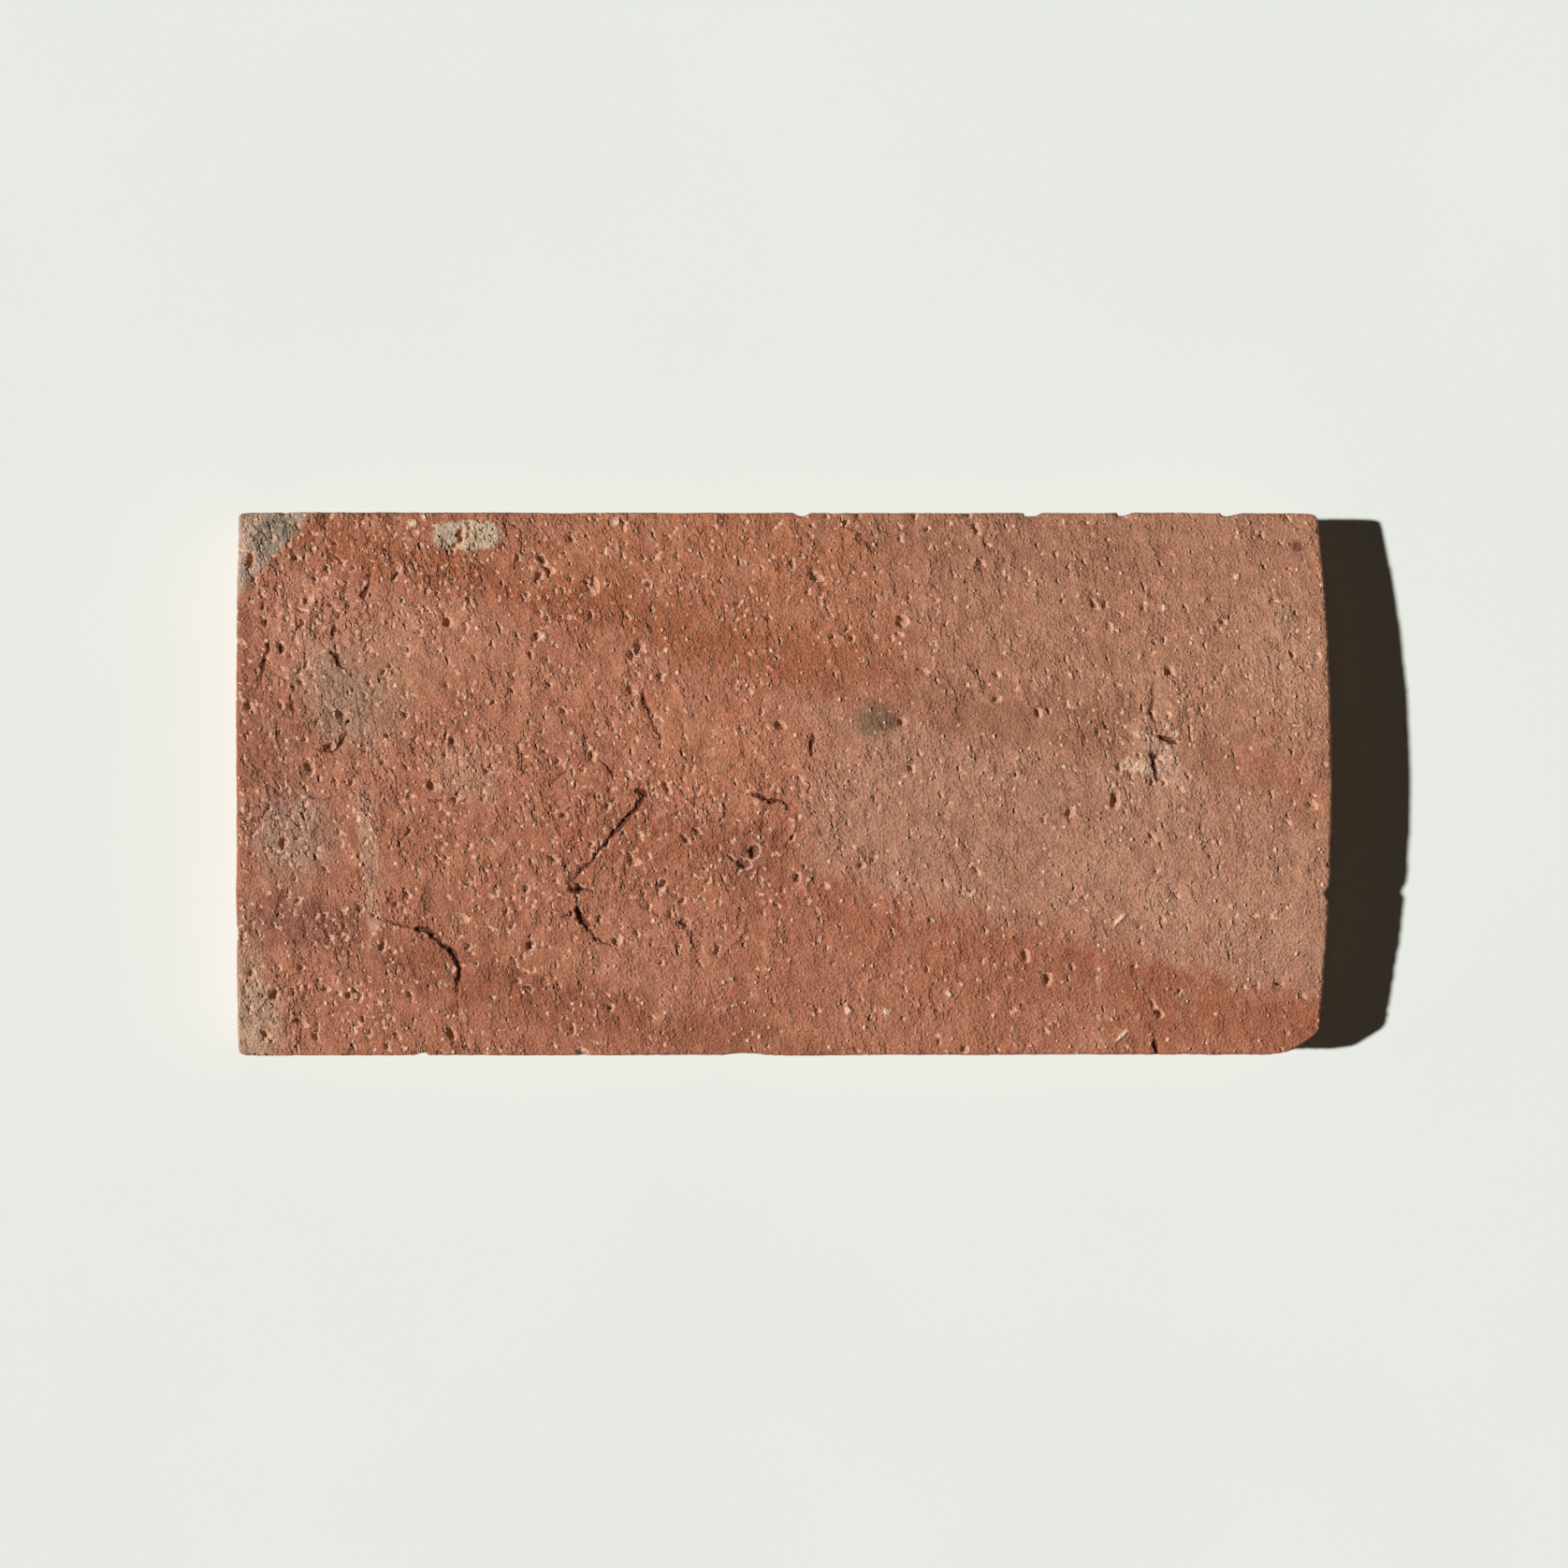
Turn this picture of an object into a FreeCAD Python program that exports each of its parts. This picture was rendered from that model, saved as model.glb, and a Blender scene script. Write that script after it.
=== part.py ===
"""A handmade terracotta floor tile, 300 x 150 mm and 30 mm thick at its crown.

The tile is one piece of fired clay. Its plan is a rectangle whose right-hand end bows out. Its sides lean in
towards the bed, its top is cambered from one long side to the other, more at the right-hand end than at the
left, and one corner has broken off. The top has a pressed hollow, open pits and drying cracks. X runs along the
tile, Y across it and Z up. The origin is the middle of the bed, the flat underside that is laid in mortar.
"""

import FreeCAD
import Part
import Sketcher

import os

# Driving dimensions, in millimetres and degrees
SIZES = {
    "tile_length": 300.0,
    "tile_width": 150.0,
    "crown_height": 30.0,
    "left_camber": 3.0,
    "right_camber": 6.0,
    "end_bow": 3.0,
    "side_draft": 2.0,
    "chip_length": 9.6,
    "chip_width": 5.4,
    "corner_round": 2.5,
    "arris_round": 1.2,
    "bed_round": 0.8,
    "hollow_width": 26.0,
    "hollow_depth": 0.6,
    "pit_width": 3.4,
    "pit_depth": 1.2,
    "crack_width": 1.8,
    "crack_depth": 1.3,
    "cut_margin": 5.0,
}

# Where the hollow and the pits lie, as shares of the tile's length and width from its middle
HOLLOW = (-0.110, -0.187)
PITS = (
    (-0.458, 0.248),
    (-0.354, 0.380),
    (-0.220, 0.409),
    (-0.226, 0.269),
    (-0.345, 0.127),
    (-0.431, 0.023),
    (-0.388, -0.383),
    (-0.231, -0.294),
    (-0.028, -0.123),
    (0.012, -0.172),
    (0.007, 0.403),
    (0.283, 0.329),
    (0.347, 0.263),
    (0.361, -0.379),
)

# The paths of the cracks, in the same shares
CRACKS = {
    "left_crack": ((-0.352, -0.258), (-0.327, -0.265), (-0.315, -0.288), (-0.302, -0.305)),
    "left_crack_end": ((-0.310, -0.293), (-0.296, -0.329), (-0.298, -0.377)),
    "long_crack": ((-0.125, -0.020), (-0.149, -0.077), (-0.174, -0.137), (-0.197, -0.181)),
    "long_crack_end": ((-0.189, -0.220), (-0.183, -0.250), (-0.177, -0.272), (-0.157, -0.299)),
    "upper_crack": ((-0.128, 0.173), (-0.125, 0.138), (-0.106, 0.060)),
    "right_crack": ((0.335, 0.062), (0.338, 0.031), (0.340, 0.004)),
}

# How a sketch numbers the points of a curve
START, END, CENTRE = range(1, 4)
# How it numbers its own horizontal and vertical axes
X_AXIS, Y_AXIS = range(-1, -3, -1)

UP = FreeCAD.Vector(0, 0, 1)
DOWN = FreeCAD.Vector(0, 0, -1)


def make_sheet(doc):
    """The spreadsheet of driving dimensions, one aliased cell for each."""
    sheet = doc.addObject("Spreadsheet::Sheet", "sizes")
    for row, (alias, value) in enumerate(SIZES.items(), start=1):
        sheet.set(f"A{row}", alias)
        sheet.set(f"B{row}", str(value))
        sheet.setAlias(f"B{row}", alias)
    doc.recompute()
    return sheet


def bow_radius(chord, rise):
    """The expression for the radius of an arc of that chord and rise."""
    return f"(({chord}) ^ 2 / 4 + ({rise}) ^ 2) / (2 * ({rise}))"


def new_sketch(body, name, plane_role, offset):
    """An empty sketch on one of the body's origin planes, moved along its normal by an expression."""
    sketch = body.newObject("Sketcher::SketchObject", name)
    plane = next(p for p in body.Origin.OriginFeatures if p.Role == plane_role)
    sketch.AttachmentSupport = [(plane, "")]
    sketch.MapMode = "FlatFace"
    sketch.setExpression("AttachmentOffset.Base.z", offset)
    return sketch


def straight(x1, y1, x2, y2):
    return Part.LineSegment(FreeCAD.Vector(x1, y1, 0), FreeCAD.Vector(x2, y2, 0))


def bowed(x1, y1, x2, y2, x3, y3):
    return Part.Arc(FreeCAD.Vector(x1, y1, 0), FreeCAD.Vector(x2, y2, 0), FreeCAD.Vector(x3, y3, 0))


def add_loop(sketch, curves):
    """Adds curves that follow each other round a closed loop, each ending where the next one starts."""
    sketch.addGeometry(curves, False)
    for i in range(len(curves)):
        following = (i + 1) % len(curves)
        sketch.addConstraint(Sketcher.Constraint("Coincident", i, END, following, START))


def fix(sketch, kind, *where, by):
    """Adds a dimension as it is drawn, then binds it to an expression in the driving dimensions."""
    if kind == "Radius":
        drawn = sketch.Geometry[where[0]].Radius
    else:
        point = sketch.getPoint(*where)
        drawn = point.x if kind == "DistanceX" else point.y
    index = sketch.addConstraint(Sketcher.Constraint(kind, *where, drawn))
    sketch.setExpression(f"Constraints[{index}]", by)


def plan_outline(body, sheet):
    """The tile seen from above: three straight sides and the bowed right-hand end."""
    sketch = new_sketch(body, "plan_outline", "XY_Plane", "sizes.crown_height")
    tip = sheet.tile_length / 2
    shoulder = tip - sheet.end_bow
    side = sheet.tile_width / 2
    front, bowed_end, back, square_end = range(4)
    add_loop(
        sketch,
        [
            straight(-tip, -side, shoulder, -side),
            bowed(shoulder, -side, tip, 0, shoulder, side),
            straight(shoulder, side, -tip, side),
            straight(-tip, side, -tip, -side),
        ],
    )
    radius = bow_radius("sizes.tile_width", "sizes.end_bow")
    sketch.addConstraint(Sketcher.Constraint("Horizontal", front))
    sketch.addConstraint(Sketcher.Constraint("Horizontal", back))
    sketch.addConstraint(Sketcher.Constraint("Vertical", square_end))
    sketch.addConstraint(Sketcher.Constraint("PointOnObject", bowed_end, CENTRE, X_AXIS))
    fix(sketch, "DistanceX", front, START, by="-sizes.tile_length / 2")
    fix(sketch, "DistanceY", front, START, by="-sizes.tile_width / 2")
    fix(sketch, "DistanceY", square_end, START, by="sizes.tile_width / 2")
    fix(sketch, "DistanceX", bowed_end, CENTRE, by=f"sizes.tile_length / 2 - {radius}")
    fix(sketch, "Radius", bowed_end, by=radius)
    return sketch


def crown_section(body, sheet, name, station, camber, drawn_camber):
    """What is struck off above the tile at one station: a cambered edge below, square sides above."""
    sketch = new_sketch(body, name, "YZ_Plane", station)
    crown = sheet.crown_height
    reach = sheet.tile_width / 2 + sheet.cut_margin
    eaves = crown - drawn_camber
    lid_height = crown + sheet.cut_margin
    struck, far_side, lid, near_side = range(4)
    # A sketch arc runs anticlockwise, so the cambered edge starts at its positive end.
    add_loop(
        sketch,
        [
            bowed(reach, eaves, 0, crown, -reach, eaves),
            straight(-reach, eaves, -reach, lid_height),
            straight(-reach, lid_height, reach, lid_height),
            straight(reach, lid_height, reach, eaves),
        ],
    )
    radius = bow_radius("sizes.tile_width", camber)
    sketch.addConstraint(Sketcher.Constraint("Vertical", far_side))
    sketch.addConstraint(Sketcher.Constraint("Horizontal", lid))
    sketch.addConstraint(Sketcher.Constraint("Vertical", near_side))
    sketch.addConstraint(Sketcher.Constraint("PointOnObject", struck, CENTRE, Y_AXIS))
    fix(sketch, "DistanceX", struck, START, by="sizes.tile_width / 2 + sizes.cut_margin")
    fix(sketch, "DistanceX", struck, END, by="-sizes.tile_width / 2 - sizes.cut_margin")
    fix(sketch, "DistanceY", struck, CENTRE, by=f"sizes.crown_height - {radius}")
    fix(sketch, "Radius", struck, by=radius)
    fix(sketch, "DistanceY", lid, START, by="sizes.crown_height + sizes.cut_margin")
    return sketch


def chip_outline(body, sheet):
    """The broken corner seen from above: the line of the break, and two sides clear of the tile."""
    sketch = new_sketch(body, "chip_outline", "XY_Plane", "0")
    shoulder = sheet.tile_length / 2 - sheet.end_bow
    side = sheet.tile_width / 2
    run_on = sheet.cut_margin * sheet.chip_width / sheet.chip_length
    break_start = shoulder - sheet.chip_length - sheet.cut_margin
    break_end = shoulder + sheet.cut_margin
    low = -side - run_on
    high = -side + sheet.chip_width + run_on
    below, beyond, break_line = range(3)
    add_loop(
        sketch,
        [
            straight(break_start, low, break_end, low),
            straight(break_end, low, break_end, high),
            straight(break_end, high, break_start, low),
        ],
    )
    corner_x = "sizes.tile_length / 2 - sizes.end_bow"
    corner_y = "-sizes.tile_width / 2"
    rise = "sizes.cut_margin * sizes.chip_width / sizes.chip_length"
    sketch.addConstraint(Sketcher.Constraint("Horizontal", below))
    sketch.addConstraint(Sketcher.Constraint("Vertical", beyond))
    fix(sketch, "DistanceX", below, START, by=f"{corner_x} - sizes.chip_length - sizes.cut_margin")
    fix(sketch, "DistanceY", below, START, by=f"{corner_y} - {rise}")
    fix(sketch, "DistanceX", break_line, START, by=f"{corner_x} + sizes.cut_margin")
    fix(sketch, "DistanceY", break_line, START, by=f"{corner_y} + sizes.chip_width + {rise}")
    return sketch


def upright(edge):
    """Whether an edge runs from the bed to the top."""
    box = edge.BoundBox
    return box.ZLength > max(box.XLength, box.YLength)


def facing(shape, direction):
    """The one face of a shape that looks most nearly in a direction, at the middle of the face."""

    def turned_to(face):
        u1, u2, v1, v2 = face.ParameterRange
        return face.normalAt((u1 + u2) / 2, (v1 + v2) / 2).dot(direction)

    return max(shape.Faces, key=turned_to)


def names_of(kind, elements, wanted):
    """The names of those edges or faces of a shape that are among the wanted ones."""
    numbered = enumerate(elements, start=1)
    return [f"{kind}{i}" for i, element in numbered if any(element.isSame(other) for other in wanted)]


def rounded(body, name, base, edges, radius):
    """A fillet on some edges of the feature before it, its radius bound to an expression."""
    fillet = body.newObject("PartDesign::Fillet", name)
    fillet.Base = (base, names_of("Edge", base.Shape.Edges, edges))
    fillet.setExpression("Radius", radius)
    body.Document.recompute()
    return fillet


def moulded_blank(body, sheet):
    """The clay as it leaves the mould: the plan at full height, its sides leaning in towards the bed."""
    block = body.newObject("PartDesign::Pad", "moulded_block")
    block.Profile = plan_outline(body, sheet)
    block.Reversed = True
    block.setExpression("Length", "sizes.crown_height")
    body.Document.recompute()

    faces = block.Shape.Faces
    top = facing(block.Shape, UP)
    bed = facing(block.Shape, DOWN)
    sides = [face for face in faces if not (face.isSame(top) or face.isSame(bed))]
    blank = body.newObject("PartDesign::Draft", "leaning_sides")
    blank.Base = (block, names_of("Face", faces, sides))
    blank.NeutralPlane = (block, names_of("Face", faces, [top]))
    blank.Reversed = True
    blank.setExpression("Angle", "sizes.side_draft")
    body.Document.recompute()
    return blank


def struck_crown(body, sheet):
    """The cut that leaves the cambered top. The camber grows evenly along the tile and past its ends."""
    station = "sizes.tile_length / 2 + sizes.cut_margin"
    past_end = "(sizes.right_camber - sizes.left_camber) * sizes.cut_margin / sizes.tile_length"
    left_camber = f"sizes.left_camber - {past_end}"
    right_camber = f"sizes.right_camber + {past_end}"
    left_crown = crown_section(body, sheet, "left_crown", f"-({station})", left_camber, sheet.left_camber)
    right_crown = crown_section(body, sheet, "right_crown", station, right_camber, sheet.right_camber)
    struck = body.newObject("PartDesign::SubtractiveLoft", "struck_crown")
    struck.Profile = left_crown
    struck.Sections = [right_crown]
    struck.Ruled = True
    body.Document.recompute()
    return struck


def broken_corner(body, sheet):
    """The cut where one corner has broken away, from the bed to the top."""
    broken = body.newObject("PartDesign::Pocket", "broken_corner")
    broken.Profile = chip_outline(body, sheet)
    broken.Type = "ThroughAll"
    broken.Reversed = True
    body.Document.recompute()
    return broken


def top_level(along, across):
    """The expression for the height of the cambered top at a place given in shares of the tile."""
    camber = f"(sizes.left_camber + (sizes.right_camber - sizes.left_camber) * {along + 0.5:.4f})"
    return f"(sizes.crown_height - {camber} * {4 * across ** 2:.4f})"


def sunk(body, kind, name, place, level):
    """A cut of some kind in the top, at a place given in shares of the tile, its origin at a level over the top."""
    along, across = place
    cut = body.newObject(f"PartDesign::Subtractive{kind}", name)
    plane = next(p for p in body.Origin.OriginFeatures if p.Role == "XY_Plane")
    cut.AttachmentSupport = [(plane, "")]
    cut.MapMode = "FlatFace"
    cut.Refine = False
    cut.setExpression("AttachmentOffset.Base.x", f"sizes.tile_length * ({along})")
    cut.setExpression("AttachmentOffset.Base.y", f"sizes.tile_width * ({across})")
    cut.setExpression("AttachmentOffset.Base.z", f"{top_level(along, across)} + ({level})")
    return cut


def pressed_hollow(body):
    """The broad, shallow hollow in the top, as a ball of large radius leaves it."""
    radius = bow_radius("sizes.hollow_width", "sizes.hollow_depth")
    hollow = sunk(body, "Sphere", "pressed_hollow", HOLLOW, f"{radius} - sizes.hollow_depth")
    hollow.setExpression("Radius", radius)
    body.Document.recompute()
    return hollow


def open_pit(body, name, place):
    """A pit in the top with seven upright sides. The cut reaches as far above the top as it goes in."""
    sides = 7
    pit = sunk(body, "Prism", name, place, "-sizes.pit_depth")
    pit.Polygon = sides
    pit.setExpression("Circumradius", "sizes.pit_width / 2")
    pit.setExpression("Height", "sizes.pit_depth * 2")
    body.Document.recompute()
    return pit


def crack_sides(sheet, path):
    """The corners of a crack that opens between its two pointed ends: each a place, and a way out from the path."""
    spots = [FreeCAD.Vector(along * sheet.tile_length, across * sheet.tile_width, 0) for along, across in path]
    outward = [FreeCAD.Vector()]
    for before, after in zip(spots[:-2], spots[2:]):
        outward.append(UP.cross(after - before).normalize())
    outward.append(FreeCAD.Vector())
    one_side = list(zip(path, outward))
    other_side = [(place, -way) for place, way in one_side[1:-1]]
    return one_side + other_side[::-1]


def crack_outline(body, sheet, name, path):
    """A crack seen from above, as a loop of straight edges round its path."""
    sketch = new_sketch(body, f"{name}_outline", "XY_Plane", "sizes.crown_height")
    corners = crack_sides(sheet, path)
    half = sheet.crack_width / 2
    drawn = [
        (along * sheet.tile_length + way.x * half, across * sheet.tile_width + way.y * half)
        for (along, across), way in corners
    ]
    add_loop(sketch, [straight(*start, *end) for start, end in zip(drawn, drawn[1:] + drawn[:1])])
    for i, ((along, across), way) in enumerate(corners):
        out_x = f"sizes.crack_width * ({way.x / 2:.5f})"
        out_y = f"sizes.crack_width * ({way.y / 2:.5f})"
        fix(sketch, "DistanceX", i, START, by=f"sizes.tile_length * ({along}) + {out_x}")
        fix(sketch, "DistanceY", i, START, by=f"sizes.tile_width * ({across}) + {out_y}")
    return sketch


def cracked(body, sheet, name, path):
    """A drying crack cut down into the top, as deep at the middle of its path as the driving dimension gives."""
    along, across = path[len(path) // 2]
    crack = body.newObject("PartDesign::Pocket", name)
    crack.Profile = crack_outline(body, sheet, name, path)
    crack.Refine = False
    crack.setExpression("Length", f"sizes.crown_height - {top_level(along, across)} + sizes.crack_depth")
    body.Document.recompute()
    return crack


def worn_top(body, sheet, before):
    """The marks in the top: the pressed hollow, the open pits and the drying cracks, cut one after the other."""
    marks = [pressed_hollow(body)]
    for number, place in enumerate(PITS, start=1):
        marks.append(open_pit(body, f"pit_{number}", place))
    for name, path in CRACKS.items():
        marks.append(cracked(body, sheet, name, path))
    for mark in marks:
        must_be_smaller(mark, before)
        before = mark


def must_be_smaller(feature, before):
    """Stops the build if a feature that takes clay away took none."""
    if feature.Shape.Volume >= before.Shape.Volume:
        raise RuntimeError(f"{feature.Label} took nothing off the tile")


def make_tile(doc, sheet):
    """The tile, in the order in which it takes its shape: moulded, struck off, broken, worn."""
    body = doc.addObject("PartDesign::Body", "floor_tile")
    body.Label = "floor_tile"
    blank = moulded_blank(body, sheet)
    struck = struck_crown(body, sheet)
    must_be_smaller(struck, blank)
    broken = broken_corner(body, sheet)
    must_be_smaller(broken, struck)

    uprights = [edge for edge in broken.Shape.Edges if upright(edge)]
    handled = rounded(body, "handled_corners", broken, uprights, "sizes.corner_round")
    bed = facing(handled.Shape, DOWN)
    bedded = rounded(body, "bed_edge", handled, bed.Edges, "sizes.bed_round")
    top = facing(bedded.Shape, UP)
    worn = rounded(body, "worn_arris", bedded, top.Edges, "sizes.arris_round")
    worn_top(body, sheet, worn)
    return body


def check(doc, pieces):
    """Stops the build if a feature failed or a piece is not one sound solid."""
    for made in doc.Objects:
        if {"Invalid", "Error"} & set(made.State):
            raise RuntimeError(f"{made.Label} did not compute: {made.State}")
    for piece in pieces:
        if piece.Shape.isNull() or not piece.Shape.isValid() or len(piece.Shape.Solids) != 1:
            raise RuntimeError(f"{piece.Label} is not one valid solid")


def main():
    doc = FreeCAD.newDocument("terracotta_floor_tile")
    sheet = make_sheet(doc)
    pieces = [make_tile(doc, sheet)]
    check(doc, pieces)
    os.makedirs("parts", exist_ok=True)
    for piece in pieces:
        piece.Shape.exportStep(f"parts/{piece.Label}.step")
        box = piece.Shape.optimalBoundingBox()
        print(f"{piece.Label}: {box.XLength:.2f} x {box.YLength:.2f} x {box.ZLength:.2f} mm,", end=" ")
        print(f"x {box.XMin:.2f} to {box.XMax:.2f}, {piece.Shape.Volume / 1e6:.4f} litres")


main()
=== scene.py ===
"""Scene of the terracotta floor tile: its worn, pitted and stained clay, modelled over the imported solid."""

import itertools
import math

import bmesh
import bpy
import numpy as np
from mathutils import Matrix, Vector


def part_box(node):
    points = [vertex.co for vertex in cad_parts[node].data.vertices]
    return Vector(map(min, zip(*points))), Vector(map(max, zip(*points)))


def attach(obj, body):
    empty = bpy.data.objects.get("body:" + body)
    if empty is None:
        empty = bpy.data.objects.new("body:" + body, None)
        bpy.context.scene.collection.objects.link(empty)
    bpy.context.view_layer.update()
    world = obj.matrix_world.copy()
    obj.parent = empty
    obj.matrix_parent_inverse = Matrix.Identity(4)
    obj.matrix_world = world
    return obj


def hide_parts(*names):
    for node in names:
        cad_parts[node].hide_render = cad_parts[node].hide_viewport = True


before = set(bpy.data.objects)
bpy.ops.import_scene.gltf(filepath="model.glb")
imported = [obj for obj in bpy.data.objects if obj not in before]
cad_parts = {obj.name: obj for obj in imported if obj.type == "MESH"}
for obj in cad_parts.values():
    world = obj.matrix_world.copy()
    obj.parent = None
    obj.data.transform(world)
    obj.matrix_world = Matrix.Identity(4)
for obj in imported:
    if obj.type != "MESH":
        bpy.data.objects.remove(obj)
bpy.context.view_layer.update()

# Units: the form is worked in millimetres and written to the mesh in metres
MM = 0.001

# Form of the tile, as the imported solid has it
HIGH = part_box("floor_tile")[1]
HALF_LENGTH = HIGH.x / MM
HALF_WIDTH = HIGH.y / MM
CROWN = HIGH.z / MM
LEFT_CAMBER = 3.0
RIGHT_CAMBER = 6.0
END_BOW = 3.0
SIDE_LEAN = math.tan(math.radians(2.0))
BREAK_LENGTH = 9.6
BREAK_WIDTH = 5.4
ARRIS_ROUND = 1.1
BED_ROUND = 0.8
CORNER_SHARPNESS = 110.0
RIM_GRIP = 20.0
CROWN_ALLOWANCE = 0.35
CROWN_CLEARANCE = 0.04
HIGHEST_RELIEF = 0.3
BREAK_CORNER = np.array((HALF_LENGTH - END_BOW, -HALF_WIDTH))
BREAK_NORMAL = np.array((BREAK_WIDTH, -BREAK_LENGTH)) / math.hypot(BREAK_WIDTH, BREAK_LENGTH)
BREAK_REACH = float(BREAK_NORMAL @ (BREAK_CORNER + np.array((0.0, BREAK_WIDTH))))

# Length and width that the drawn lines of the kiln's bands reach over
FACE_LENGTH = 300.0
FACE_WIDTH = 150.0

# Fineness of the mesh, and how the parts of the block are told apart: the block reaches from -1 to 1
LENGTH_CUTS = 299
WIDTH_CUTS = 149
HEIGHT_CUTS = 23
TOP_CUTS = 2
MOST_TRIANGLES = 198000
ON_FACE = 0.999
RIM_START = 0.6
TINY = 1e-5
SIDE_ROUGHNESS = 0.8

# Grain of the face: the way it was struck off, in degrees, and how much shorter it is made along that way
DRAG_TURN = -72.0
DRAG_STRETCH = 0.55

# What the mesh keeps for the material at each point: depths and heights in millimetres, and roughness
MARK_NAMES = ("pit", "hole", "crack", "grit", "rough")

# Even draws that every scattered mark is taken from
DRAWS = np.random.default_rng(20).random((4096, 8))
LEANS = DRAWS[:, :3] * 2.0 - 1.0

# Large odd numbers that mix a cell's place and a seed into one key
PLACE_MIX = (374761393, 668265263, 1103515245)
SEED_MIX = 1274126177
KEY_MIX = 1540483477

# Cracks of the face: path, half width and depth
CRACKS = (
    (((-112, -36), (-105.7, -38.7), (-100, -39.3)), 0.5, 0.7),
    (((-101, -39.2), (-98.2, -39.8), (-96, -41.4), (-93.5, -43.6)), 1.25, 1.7),
    (((-95, -43), (-90.7, -45.7), (-88.8, -49.4), (-88.8, -52), (-89.4, -56.5)), 0.8, 1.4),
    (((-89.4, -56.5), (-89, -60), (-89.6, -64)), 0.45, 0.5),
    (((-41, -1.8), (-38.4, -2.6), (-37, -4)), 0.9, 1.3),
    (((-37.6, -3), (-40.4, -6.6), (-44.7, -11.5), (-49, -16.3)), 0.75, 1.3),
    (((-48, -15), (-52.2, -20.6), (-58.1, -26.6), (-59.2, -27.2)), 0.5, 0.8),
    (((-59.2, -26.6), (-57.6, -29.1), (-54, -28.8), (-50.8, -29.8)), 0.6, 0.9),
    (((-56.7, -33), (-55.8, -36), (-53.6, -40)), 1.1, 1.5),
    (((-54.4, -38.5), (-52, -41.5), (-47, -44.8)), 0.6, 0.9),
    (((-127.5, 9.4), (-123.4, 9.2), (-121, 11), (-119, 14.5)), 0.65, 0.9),
    (((-38.3, 26), (-37.9, 21.2), (-36.4, 18)), 0.7, 0.85),
    (((-36.8, 18.8), (-34.6, 14.8), (-31.8, 9)), 0.5, 0.6),
    (((-50.4, 7), (-45.4, 2.2)), 0.55, 0.7),
    (((-58.4, 4.6), (-63.6, -0.4)), 0.45, 0.5),
    (((-69.3, -4.6), (-60, -3.4), (-51, -2.4)), 0.4, 0.4),
    (((101.5, 28.5), (100.5, 19), (102, 14)), 0.5, 0.6),
    (((102.2, 12.9), (105, 12.2), (107.4, 11.5)), 0.85, 1.3),
    (((100.6, 9), (101.4, 4.6), (101.9, 0.6)), 0.75, 1.1),
    (((8, 14), (7.4, 6.5)), 0.65, 0.9),
    (((101.8, -70.5), (102.4, -75.5)), 0.7, 1.2),
    (((-9.4, -2.2), (-5.8, -4.2), (-0.7, -4.7), (2, -7.5)), 0.75, 1.1),
)

# Folds in the clay that open only here and there: path, half width and depth
FOLDS = (
    (((-112.7, 58.5), (-113.7, 54.3), (-116.4, 47.9)), 0.7, 0.95),
    (((-121.5, 45), (-123, 41.4), (-123.2, 37.2), (-121, 32.4), (-118.4, 31)), 0.7, 1.0),
    (((-117.8, 31.4), (-117.6, 26), (-118.3, 20.1)), 0.7, 1.0),
    (((-118.3, 20.1), (-119.4, 15), (-119.6, 12.6)), 0.6, 0.8),
    (((-133, 33), (-134.4, 24), (-133.6, 14)), 0.6, 0.7),
    (((-140, 58), (-142.5, 48), (-141, 36), (-144, 24)), 0.7, 0.9),
    (((-145, 6), (-138, -3), (-126, -4), (-112, -2.6)), 0.5, 0.6),
    (((-110, -3), (-98, -4.6), (-84, -4.4), (-69, -4.6)), 0.5, 0.6),
)

# Ridges of the face: path, half width and height
RIDGES = (
    (((-29.5, 27), (-27, 22), (-26, 17.5)), 0.9, 0.35),
    (((16.5, 70), (19.5, 68.5), (18, 66.5), (22, 65.5), (23.5, 63)), 1.1, 0.9),
    (((-26, -4), (-20.5, -2), (-16.8, -3.2), (-16.8, -7), (-18.5, -12)), 0.8, 0.6),
    (((2.5, -7.5), (3, -10.5), (2.5, -13.5), (-1, -17)), 0.9, 0.55),
    (((-43.5, -26.5), (-40, -33.5), (-33.5, -37), (-25.5, -37.5), (-20.5, -35)), 0.9, 0.5),
    (((-10.5, -36), (-11, -40.5), (-14.5, -44), (-18.5, -49)), 0.8, 0.5),
)

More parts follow.
